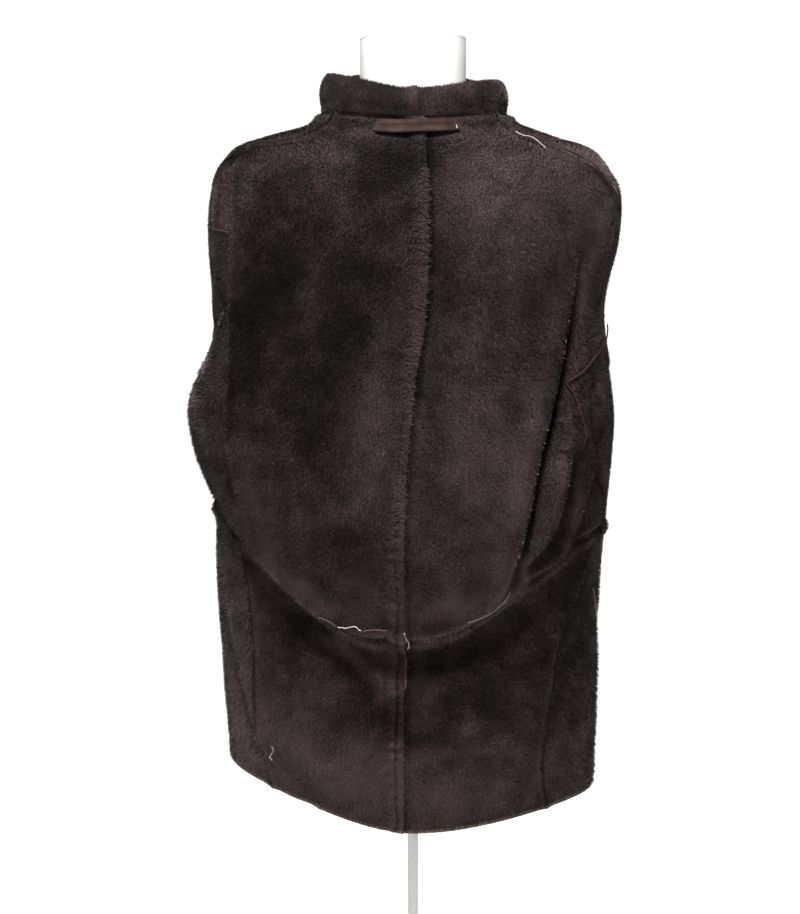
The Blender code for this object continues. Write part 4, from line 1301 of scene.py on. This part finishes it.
# %% Collar
COLLAR_THICK = 0.013
COLLAR_HEIGHT = (0.034, 0.046, 0.040, 0.066)
FACING, FACING_FROM = (-148, -124), 19
COLLAR_OUTSIDE = ((0.22, 0.16), (0.38, 0.38), (0.34, 0.62), (0.12, 0.84), (-0.20, 0.97))
COLLAR_INSIDE = ((-0.52, 0.98), (-0.78, 0.84), (-0.80, 0.58), (-0.72, 0.30), (-0.62, 0.10))
COLLAR_END = 168
COLLAR_COLUMNS, COLLAR_STEPS = 150, 3
COLLAR_PILE, COLLAR_LIGHT = 0.0024, {"left": 0.18, "right": 0.30}
RIB_PITCH, RIB_HEIGHT = 0.0044, 0.0006
COLLAR_BAND = Ridge(0.0020, 0.0060)
COLLAR_BAND_MIDDLE = 0.0085
COLLAR_DENSITY, COLLAR_LONG, BAND_PALE = 700000.0, 0.8, 150
COLLAR_NAP = {"length": 0.0038, "width": 0.0009, "comb": (0, 0, 1.0)}
COLLAR_LIE = {"lean": 0.45, "swirl": 0.4, "stray": 0.3}


def collar_surface(side):
    """(surface, outward directions, rise of the band, degrees), a row for each place round the neck."""
    sign = SIGN[side]
    middle = float(line_angle("middle", LEVEL["neck"]))
    angle = np.linspace(middle, sign * math.radians(COLLAR_END), COLLAR_COLUMNS)
    level = np.full(angle.shape, LEVEL["neck"])
    edge = coat(angle, level)
    around, up, out = directions(coat, angle, level)
    height = round_mix(angle, *COLLAR_HEIGHT)
    level_out = np.stack([np.sin(angle), np.cos(angle), np.zeros(angle.shape)], -1)
    foot = edge + up * SEAM_GAP
    foot[0] += sign * around[0] * SEAM_GAP / 2
    section = [foot]
    for across, rise in COLLAR_OUTSIDE + COLLAR_INSIDE:
        above = np.array((0, 0, 1.0)) * (rise * height)[:, None]
        section.append(foot + level_out * across * COLLAR_THICK + above)
    section.append(foot - out * WALL)
    steps = np.linspace(0, len(section) - 1, COLLAR_STEPS * (len(section) - 1) + 1)
    band = np.stack([smooth(np.array(section), step) for step in steps], 1)
    away = unit(np.cross(np.gradient(band, axis=1), np.gradient(band, axis=0)) * sign)
    if ((away * level_out[:, None]).sum(-1)[:, 4]).mean() < 0:
        away = -away
    arc = distance_along(edge)
    ribs = RIB_HEIGHT * np.sin(2 * math.pi * arc / RIB_PITCH + 1.3 * np.sin(arc * 90))
    raised = rise_of(COLLAR_BAND, arc - COLLAR_BAND_MIDDLE) * (side == "left")
    column = np.arange(band.shape[1])
    ends = fade(np.minimum(column, column[::-1]) / 4)
    swell = (ribs + raised - COLLAR_PILE)[:, None] * ends[None, :]
    return band + away * swell[..., None], away, raised, np.degrees(angle)


for side in ("left", "right"):
    band, away, raised, degrees = collar_surface(side)
    rows, columns = band.shape[:2]
    faces = grid_faces(rows, columns)
    for i in range(rows - 1):
        faces.append((i * columns, (i + 1) * columns, (i + 2) * columns - 1, (i + 1) * columns - 1))
    faces += [tuple(range(columns)), tuple(range((rows - 1) * columns, rows * columns))]
    mesh = closed_mesh(f"coat_collar_{side}", band, faces, sharp=CLOTH_SHARP)
    at_end = (degrees > FACING[0]) & (degrees < FACING[1])
    faced = at_end[:, None] & (np.arange(columns) > FACING_FROM)[None, :]
    for i, j in np.argwhere(faced[:-1, :-1]).tolist():
        mesh.polygons[i * (columns - 1) + j].material_index = 1
    collar = add_piece(f"coat_collar_{side}", mesh, UNDERFUR_IN_PAINTED_SHADE, TAN_LEATHER)
    ones = np.ones((rows, columns))
    light = (COLLAR_LIGHT[side] + BAND_PALE * raised)[:, None] * ones
    set_values(collar.data, "nap_light", light)
    nap = grow(
        f"nap_collar_{side}", band, away, 1 - faced, COLLAR_LONG * ones, light, NAP, COLLAR_DENSITY,
        **COLLAR_NAP, **COLLAR_LIE,
    )
    declare_sheet(collar, nap, f"collar_{side}", CUTS["collar"])

# %% [markdown]
# ## Places on the coat
# Threads, strips and fluff are placed by their angle and height, as a tailor would say "at the waist,
# left of the middle". `on_coat` finds the point of the fur's surface there and the way outwards.

# %% Finding a place on the coat
def level_at(degrees, height):
    """The level at which the coat's surface reaches a height, at an angle from the centre back."""
    levels = np.linspace(0, TOP_LEVEL, 1200)
    z = coat(np.full(levels.shape, math.radians(degrees)), levels)[..., 2]
    return float(np.interp(height, z, levels))


def on_coat(path, lift, steps=6):
    """(points along a smooth path of (degrees, height) pairs, outward directions there)."""
    degrees = [row[0] for row in path]
    levels = [level_at(*row) for row in path]
    at = np.linspace(0, len(path) - 1, steps * (len(path) - 1) + 1)
    angle, level = np.radians(smooth(degrees, at)), smooth(levels, at)
    out = directions(coat, angle, level)[2]
    return coat(angle, level) + out * (seam_raise(angle, level) + lift)[:, None], out


def aside_of(points, out):
    """Unit steps to the side of a path on the coat."""
    return np.cross(unit(np.gradient(points, axis=0)), out)


print("the waist seam's thread starts at level", round(level_at(37.5, 0.855), 2))

# %% [markdown]
# ## Loose fluff
# Long tips escape along the centre-back seam and below the neck. They are paler, and they curl towards
# the wearer's right over the seam's edge. The same nap tree makes them on a narrow strip of the
# surface, with longer hairs, fewer of them, and much more stray.

# %% Loose fluff
Fluff = namedtuple("Fluff", "name path width density length comb light")
FLUFFS = (
    Fluff(
        "middle_high", ((-4.6, 1.345), (-4.4, 1.29), (-3.4, 1.23), (-1.4, 1.17), (1.4, 1.11)),
        0.007, 420000.0, 0.0068, (-1.0, 0.3, -0.5), 0.70,
    ),
    Fluff(
        "middle_low", ((1.4, 1.11), (4.0, 1.01), (5.0, 0.93), (5.0, 0.87)),
        0.006, 420000.0, 0.0058, (-0.8, 0.2, -0.6), 0.76,
    ),
    Fluff(
        "neck_left", ((6, 1.391), (24, 1.392), (40, 1.394), (50, 1.396)),
        0.008, 300000.0, 0.0042, (0.1, 0.4, -1.0), 0.66,
    ),
    Fluff(
        "neck_right", ((-34, 1.392), (-44, 1.394), (-54, 1.397)),
        0.008, 300000.0, 0.0042, (-0.1, 0.4, -1.0), 0.76,
    ),
    Fluff("loop_end", ((27, 1.386), (21, 1.387)), 0.006, 420000.0, 0.0075, (-1.0, 0.5, 0.2), 0.55),
    Fluff(
        "waist_left", ((46, 0.880), (36, 0.858), (24, 0.842), (10, 0.833)),
        0.004, 420000.0, 0.0050, (0.0, 0.5, -1.0), 0.95,
    ),
    Fluff(
        "waist_right", ((0, 0.833), (-18, 0.842), (-32, 0.862), (-48, 0.890), (-62, 0.915)),
        0.004, 420000.0, 0.0050, (0.0, 0.5, -1.0), 0.95,
    ),
    Fluff(
        "side_curls", ((-48.0, 1.066), (-49.0, 1.056), (-47.5, 1.044), (-46.0, 1.035)),
        0.006, 420000.0, 0.0090, (-0.5, 0.4, -0.6), 0.85,
    ),
    Fluff(
        "armhole_foot", ((-60, 1.120), (-55, 1.104), (-53.5, 1.080), (-54.5, 1.045)),
        0.004, 300000.0, 0.0065, (-0.3, 0.4, -0.8), 0.60,
    ),
)
STRIP_COLUMNS, STRIP_SINK, STRIP_END, STRIP_EDGE = 9, 0.4 * PILE, 0.08, 0.6
FLUFF_NAP = {"width": 0.0010, "lean": 0.9, "swirl": 1.8, "stray": 0.55}


def strip_grid(path, width, steps=10):
    """(a narrow grid of points that follows a path on the coat, outward directions, shares across)."""
    line, out = on_coat(path, -STRIP_SINK, steps)
    across = np.linspace(-width, width, STRIP_COLUMNS)
    grid = line[:, None] + aside_of(line, out)[:, None] * across[None, :, None]
    return grid, np.broadcast_to(out[:, None], grid.shape), across / width


for fluff in FLUFFS:
    grid, out, across = strip_grid(fluff.path, fluff.width)
    share = np.linspace(0, 1, len(grid))
    furred = fade(np.minimum(share, 1 - share) / STRIP_END)[:, None]
    furred = furred * fade((1 - np.abs(across)) / STRIP_EDGE)[None, :]
    ones = np.ones(grid.shape[:2])
    tuft = grow(
        f"fluff_{fluff.name}", grid, out, furred, ones, fluff.light * ones, FLUFF, fluff.density,
        length=fluff.length, comb=fluff.comb, **FLUFF_NAP,
    )
    set_in_place(tuft)
    print(f"fluff_{fluff.name}: {len(tuft.data.polygons)} hairs")

# %% [markdown]
# ## Threads
# Loose ends of basting thread lie on the seams. A thread is a round cord under a millimetre thick that
# rises and dips in the nap. Geometry Nodes turn its path into a tube, with the radius as an input.

# %% Thread tree
def build_thread_tree():
    tree, given, result = new_group(
        "thread_tree",
        "GeometryNodeTree",
        {"Geometry": (GEOMETRY, None), "Radius": (FLOAT, 0.0005), "Material": (MATERIAL, None)},
        {"Geometry": GEOMETRY},
    )
    line = output(tree, "GeometryNodeMeshToCurve", {"Mesh": given.outputs["Geometry"]})
    round_wire = {"Resolution": 6, "Radius": given.outputs["Radius"]}
    round_wire = output(tree, "GeometryNodeCurvePrimitiveCircle", round_wire)
    swept = {"Curve": line, "Profile Curve": round_wire, "Fill Caps": True}
    return finish_tree(tree, given, result, output(tree, "GeometryNodeCurveToMesh", swept))


THREAD_TREE = build_thread_tree()


def wire(name, points, radius, material):
    """A thin round cord through the points."""
    line = bpy.data.meshes.new(name)
    line.from_pydata(points.tolist(), [(i, i + 1) for i in range(len(points) - 1)], [])
    mesh = run_tree(add_piece(name, line), THREAD_TREE, {"Radius": radius, "Material": material})
    mesh.shade_smooth()
    piece = add_piece(name, mesh)
    set_in_place(piece)
    return piece


# %% Threads on the seams
Thread = namedtuple("Thread", "name path radius wave pitch colour")
THREADS = (
    Thread(
        "waist_left", ((24.5, 0.8495), (22.5, 0.848), (19.5, 0.850), (17.0, 0.846)),
        0.00045, 0.0006, 0.011, "white",
    ),
    Thread("waist_far", ((31, 0.859), (28, 0.856), (25, 0.850)), 0.00030, 0.0004, 0.009, "tan"),
    Thread("waist_near", ((16.5, 0.845), (13, 0.847), (9, 0.845)), 0.00030, 0.0004, 0.009, "tan"),
    Thread("middle", ((3.2, 0.846), (2.0, 0.834), (2.6, 0.824)), 0.00045, 0.0004, 0.010, "white"),
    Thread("middle_low", ((3.3, 0.812), (3.6, 0.795), (3.5, 0.779)), 0.00035, 0.0004, 0.010, "tan"),
    Thread(
        "waist_right", ((-17.5, 0.854), (-21.5, 0.858), (-25.5, 0.864), (-28.5, 0.873), (-31.0, 0.884)),
        0.0004, 0.0004, 0.006, "tan",
    ),
    Thread(
        "side_left", ((54.5, 0.714), (54.0, 0.709), (55.5, 0.702), (54.5, 0.698)),
        0.00022, 0.0003, 0.006, "white",
    ),
    Thread("side_right", ((-73.5, 0.883), (-75.5, 0.864), (-77.0, 0.835)), 0.0004, 0.0002, 0.008, "tan"),
    Thread(
        "shoulder_right", ((-54.0, 1.380), (-54.5, 1.376), (-56.5, 1.372), (-57.0, 1.367), (-57.5, 1.362)),
        0.00035, 0.0002, 0.010, "white",
    ),
)
THREAD_LIFT = 0.0024


def wavy(points, out, wave, pitch):
    """Lets a path wander aside and dip, by a wave that is never quite even."""
    turn = 2 * math.pi * distance_along(points) / pitch
    sway = np.sin(turn + 1.4 * np.sin(0.37 * turn))
    dip = 0.5 * np.cos(1.3 * turn)
    return points + wave * (aside_of(points, out) * sway[:, None] + out * dip[:, None])


for thread in THREADS:
    points, out = on_coat(thread.path, THREAD_LIFT, steps=10)
    colour = THREAD if thread.colour == "white" else TAN_THREAD
    piece = wire(f"thread_{thread.name}", wavy(points, out, thread.wave, thread.pitch), thread.radius, colour)
    print(piece.name, len(piece.data.polygons), "faces")

# %% [markdown]
# ## Leather edges
# Where a seam opens, the leather's edge shows as a thin reddish strip: along the right shoulder, round
# the right armhole's foot, and across the left sleeve's head. Each is a narrow ribbon that stands on
# the surface, thin and slightly crowned.

# %% Leather edges
Strip = namedtuple("Strip", "name path width lift")
STRIPS = (
    Strip(
        "shoulder_right",
        ((-59.5, 1.380), (-62.0, 1.373), (-63.0, 1.364), (-66.5, 1.356), (-70.5, 1.340), (-77.0, 1.315)),
        0.0012, 0.0018,
    ),
    Strip(
        "armhole_right", ((-80.0, 1.174), (-70.0, 1.149), (-62.0, 1.129), (-56.5, 1.115), (-53.5, 1.106)),
        0.0013, 0.0012,
    ),
    Strip(
        "side_right", ((-53.5, 1.106), (-53.5, 1.088), (-54.0, 1.072), (-55.0, 1.056), (-54.5, 1.040)),
        0.0010, 0.0008,
    ),
    Strip("head_left", ((82.5, 1.286), (74.0, 1.277), (69.0, 1.268)), 0.0010, 0.0008),
)
# A ribbon's section as shares of its width: how far aside and how far out each of its points lies.
RIBBON = ((-1, 0), (-0.6, 0.8), (0, 1), (0.6, 0.8), (1, 0), (0, -0.5))


def ribbon_mesh(name, points, out, width):
    """A closed crowned ribbon along the points."""
    aside = unit(aside_of(points, out))
    ring = np.stack([points + width * (aside * across + out * rise) for across, rise in RIBBON], 1)
    return closed_mesh(name, ring, tube_faces(*ring.shape[:2]))


for strip in STRIPS:
    points, out = on_coat(strip.path, strip.lift, steps=10)
    mesh = ribbon_mesh(f"leather_{strip.name}", points, out, strip.width)
    piece = add_piece(f"leather_{strip.name}", mesh, STRIP_LEATHER)
    set_in_place(piece)
    print(piece.name, len(mesh.polygons), "faces")

# %% [markdown]
# ## The hanging loop
# A reddish leather strip is sewn below the collar to hang the coat by. It was folded in three
# lengthwise, so its face shows two shallow grooves, and a white stitch holds its right end.

# %% Hanging loop
LOOP_LEVELS = (13.96, 14.42)
LOOP_ANGLES = (24.5, -29)
LOOP_BRIDGE, LOOP_LEAN = 0.032, 0.004
LOOP_THICK = 0.0022
LOOP_COLUMNS, LOOP_ROWS, STITCH_ROWS = 60, 19, 8
LIE_GAP = 0.0008
PLY_DEPTH = 0.0014
STITCH_LIFT, STITCH_RADIUS = 0.0006, 0.0004


def loop_layers():
    """(face, underside, outward directions) of the folded strip, a row for each step along it."""
    angle = np.radians(np.linspace(*LOOP_ANGLES, LOOP_COLUMNS))[:, None]
    across = np.linspace(0, 1, LOOP_ROWS)
    levels = LOOP_LEVELS[0] + (LOOP_LEVELS[1] - LOOP_LEVELS[0]) * across
    angle, level = np.broadcast_arrays(angle, levels[None, :])
    out = directions(coat, angle, level)[2]
    from_middle, _, _, from_neck = seam_distances(angle, level)
    lift = rise_of(NECK_RIDGE, from_neck - NECK_DROP) + LIE_GAP
    lift = lift + MIDDLE_RIDGE.height * bump(from_middle - LOOP_LEAN, LOOP_BRIDGE)
    under = coat(angle, level) + out * lift[..., None]
    plies = PLY_DEPTH * np.abs(np.sin(1.5 * math.pi * across)) ** 0.5
    crown = (LOOP_THICK - PLY_DEPTH + plies)[None, :, None]
    return under + out * crown, under, out


top, under, out = loop_layers()
loop = add_piece("hanging_loop", sheet_mesh("hanging_loop", top, under), *[STRIP_LEATHER] * 3)
set_in_place(loop, "locker_loop")
stitches = slice(1, STITCH_ROWS)
wire("loop_stitch", top[-3, stitches] + out[-3, stitches] * STITCH_LIFT, STITCH_RADIUS, THREAD)
print("loop", len(loop.data.polygons), "faces")

# %% [markdown]
# ## The dress form and its stand
# The form is a moulded shell. Its neck is a plain drum with a low domed cap, and its trunk narrows to
# the waist under the coat. We turn the neck, cap, pole and base from profiles at a finer step than
# the plain solids, and loft the trunk through the same rings.

# %% Form and stand
Torso = namedtuple("Torso", "z side back front")
TORSO = (
    Torso(0.820, 0.140, 0.092, 0.088),
    Torso(0.835, 0.150, 0.100, 0.096),
    Torso(0.900, 0.150, 0.102, 0.098),
    Torso(0.980, 0.124, 0.086, 0.086),
    Torso(1.080, 0.134, 0.094, 0.104),
    Torso(1.180, 0.148, 0.104, 0.118),
    Torso(1.260, 0.154, 0.106, 0.108),
    Torso(1.320, 0.160, 0.100, 0.094),
)
TORSO_LEVELS = np.linspace(13.0, 15.0, 17)
TORSO_POINTS, TORSO_STEPS = 96, 4
REST_GAP = 0.0010
NECK_RADIUS, NECK_FOOT, NECK_TOP = 0.060, 1.428, 1.4965
CAP_TOP, CAP_RIM, CAP_STEPS = 1.505, 0.003, 10
POLE_RADIUS, BASE_RADIUS, BASE_THICK, BASE_EDGE = 0.006, 0.170, 0.008, 0.004
POLE_EDGE, DRUM_EDGE, CHAMFER = 0.0005, 0.0006, 0.001
BOSS_RADIUS, BOSS_TOP = 0.022, 0.040
TURN_STEPS = 96


def torso_mesh():
    """The trunk: a smooth curve through the table's rings, and rings that follow the coat above them."""
    angle = np.linspace(0, 2 * math.pi, TORSO_POINTS, endpoint=False)
    across, along = np.sin(angle), np.cos(angle)

    def ring(side, depth, z):
        return np.stack([side * across, depth * along, np.full(angle.shape, z)], -1)

    trunk = np.array([ring(row.side, np.where(along > 0, row.back, row.front), row.z) for row in TORSO])
    steps = np.linspace(0, len(trunk) - 1, TORSO_STEPS * (len(trunk) - 1) + 1)
    rings = [smooth(trunk, step) for step in steps]
    for level in TORSO_LEVELS:
        levels = np.full(angle.shape, level)
        out = directions(coat, angle, levels)[2]
        rings.append(coat(angle, levels) - out * (WALL + REST_GAP))
    rings = np.array([*rings, ring(NECK_RADIUS, NECK_RADIUS, NECK_FOOT)])
    return closed_mesh("form_trunk", rings, tube_faces(*rings.shape[:2]), merge=1e-6, sharp=SOLID_SHARP)


def turned_mesh(name, profile):
    """A solid turned round Z from (radius, height) pairs, whose first and last lie on the axis."""
    turn = np.linspace(0, 2 * math.pi, TURN_STEPS, endpoint=False)
    points = np.array([[(r * math.cos(t), r * math.sin(t), z) for t in turn] for r, z in profile])
    faces = tube_faces(len(profile), TURN_STEPS, ends=False)
    return closed_mesh(name, points, faces, merge=1e-7, sharp=SOLID_SHARP)


def rod_profile(radius, low, high, edge):
    return ((0, high), (radius - edge, high), (radius, high - edge), (radius, low), (0, low))


cap_low = NECK_TOP + SEAM_GAP
cap_turns = np.linspace(0, math.pi / 2, CAP_STEPS + 1)
cap_rise = CAP_TOP - cap_low - CAP_RIM
cap_dome = [(NECK_RADIUS * math.sin(t), cap_low + CAP_RIM + cap_rise * math.cos(t)) for t in cap_turns]
base_profile = (
    (0, BOSS_TOP), (BOSS_RADIUS - BASE_EDGE, BOSS_TOP), (BOSS_RADIUS - CHAMFER, BOSS_TOP - CHAMFER),
    (BOSS_RADIUS, BOSS_TOP - BASE_EDGE), (BOSS_RADIUS, BASE_THICK + BASE_EDGE),
    (BOSS_RADIUS + CHAMFER, BASE_THICK + CHAMFER), (BOSS_RADIUS + BASE_EDGE, BASE_THICK),
    (BASE_RADIUS - BASE_EDGE, BASE_THICK), (BASE_RADIUS - CHAMFER, BASE_THICK - CHAMFER),
    (BASE_RADIUS, BASE_THICK - BASE_EDGE), (BASE_RADIUS, 0), (0, 0),
)
cap_profile = (*cap_dome, (NECK_RADIUS, cap_low), (0, cap_low))
pole_ends = (BOSS_TOP + SEAM_GAP, TORSO[0].z - SEAM_GAP)
StandPiece = namedtuple("StandPiece", "name node material slot profile")
STAND_PIECES = (
    StandPiece("form_trunk", "form_torso", FORM_WHITE, "form", None),
    StandPiece(
        "form_neck_drum", "form_neck", FORM_WHITE, "form",
        rod_profile(NECK_RADIUS, NECK_FOOT + SEAM_GAP, NECK_TOP, DRUM_EDGE),
    ),
    StandPiece("form_neck_cap", "form_cap", FORM_WHITE, "form", cap_profile),
    StandPiece(
        "steel_pole", "stand_pole", POLE_STEEL, "pole", rod_profile(POLE_RADIUS, *pole_ends, POLE_EDGE)
    ),
    StandPiece("round_base", "stand_base", BASE_WHITE, "base", base_profile),
)
for row in STAND_PIECES:
    mesh = turned_mesh(row.name, row.profile) if row.profile else torso_mesh()
    set_in_place(add_piece(row.name, mesh, row.material), row.node)
    print(row.name, len(mesh.polygons), "faces")

# %% [markdown]
# ## The studio
# A catalogue picture of a garment is made in a white studio. Its walls send a little light from
# every side, one high lamp stands over the camera, and two weak soft ones light the edges of the dark
# fur. The floor and backdrop are one smooth sweep, nearly white, which glows behind the coat so that
# it stays as bright there as the walls look.

# %% Studio
PAPER_GLOW, GLOW_FROM, GLOW_FULL = 0.88, -0.6, -1.8
SWEEP_HALF_WIDTH, SWEEP_FRONT, SWEEP_BACK, SWEEP_HEIGHT = 4.0, 3.2, -6.4, 3.6
SWEEP_BEND, BEND_STEPS = 0.8, 13
bend = np.linspace(0, math.pi / 2, BEND_STEPS)
bend_y = SWEEP_BACK + SWEEP_BEND * (1 - np.sin(bend))
bend_z = SWEEP_BEND * (1 - np.cos(bend))
sweep_line = [(SWEEP_FRONT, 0.0), *zip(bend_y, bend_z), (SWEEP_BACK, SWEEP_HEIGHT)]
sweep_points = np.array([[(x, y, z) for x in (-SWEEP_HALF_WIDTH, SWEEP_HALF_WIDTH)] for y, z in sweep_line])
sweep = add_piece("studio_sweep", mesh_from("studio_sweep", sweep_points, grid_faces(len(sweep_line), 2)))
PAPER, WHITE = (0.90, 0.90, 0.90, 1), (1, 1, 1, 1)
paper, paper_tree, paper_shader = new_material(
    "white_paper", roughness=0.9, Base_Color=PAPER, Emission_Color=WHITE
)
paper_depth = output(paper_tree, "ShaderNodeSeparateXYZ", {0: own_place(paper_tree)}, "Y")
ends = {"Value": paper_depth, 1: GLOW_FROM, 2: GLOW_FULL, 4: PAPER_GLOW}
glow = output(paper_tree, "ShaderNodeMapRange", ends)
paper_tree.links.new(glow, paper_shader.inputs["Emission Strength"])
sweep.data.materials.append(paper)

world = bpy.data.worlds.new("white_studio")
bpy.context.scene.world = world
world.use_nodes = True
WORLD_LIGHT, WORLD_SEEN = 0.13, 0.97
sky = world.node_tree
background = sky.nodes["Background"]
background.inputs["Color"].default_value = (1.0, 0.99, 0.985, 1)
seen = output(sky, "ShaderNodeLightPath", socket="Is Camera Ray")
strength = output(sky, "ShaderNodeMapRange", {"Value": seen, 3: WORLD_LIGHT, 4: WORLD_SEEN})
sky.links.new(strength, background.inputs["Strength"])

Lamp = namedtuple("Lamp", "name place size power")
LAMPS = (
    Lamp("high_key", (0.28, 2.1, 3.2), 0.7, 178.0),
    Lamp("soft_right", (-2.2, 1.3, 1.5), 1.2, 11.0),
    Lamp("soft_left", (2.1, 1.5, 1.3), 1.2, 7.0),
)
AIM = Vector((0, 0.1, 1.05))
for lamp in LAMPS:
    light = bpy.data.lights.new(lamp.name, "AREA")
    light.shape, light.size, light.energy = "DISK", lamp.size, lamp.power
    holder = bpy.data.objects.new(lamp.name, light)
    holder.location = lamp.place
    holder.rotation_euler = (AIM - Vector(lamp.place)).to_track_quat("-Z", "Y").to_euler()
    bpy.context.scene.collection.objects.link(holder)
bpy.context.scene.view_settings.view_transform = "Standard"
print("sweep, world and", len(LAMPS), "lamps")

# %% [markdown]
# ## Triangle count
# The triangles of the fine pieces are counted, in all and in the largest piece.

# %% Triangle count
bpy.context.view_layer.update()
triangles = {
    piece.name: sum(len(face.vertices) - 2 for face in piece.data.polygons)
    for piece in bpy.data.objects
    if piece.type == "MESH" and "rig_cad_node" not in piece
}
print("triangles in all:", sum(triangles.values()), " most in a piece:", max(triangles.values()))
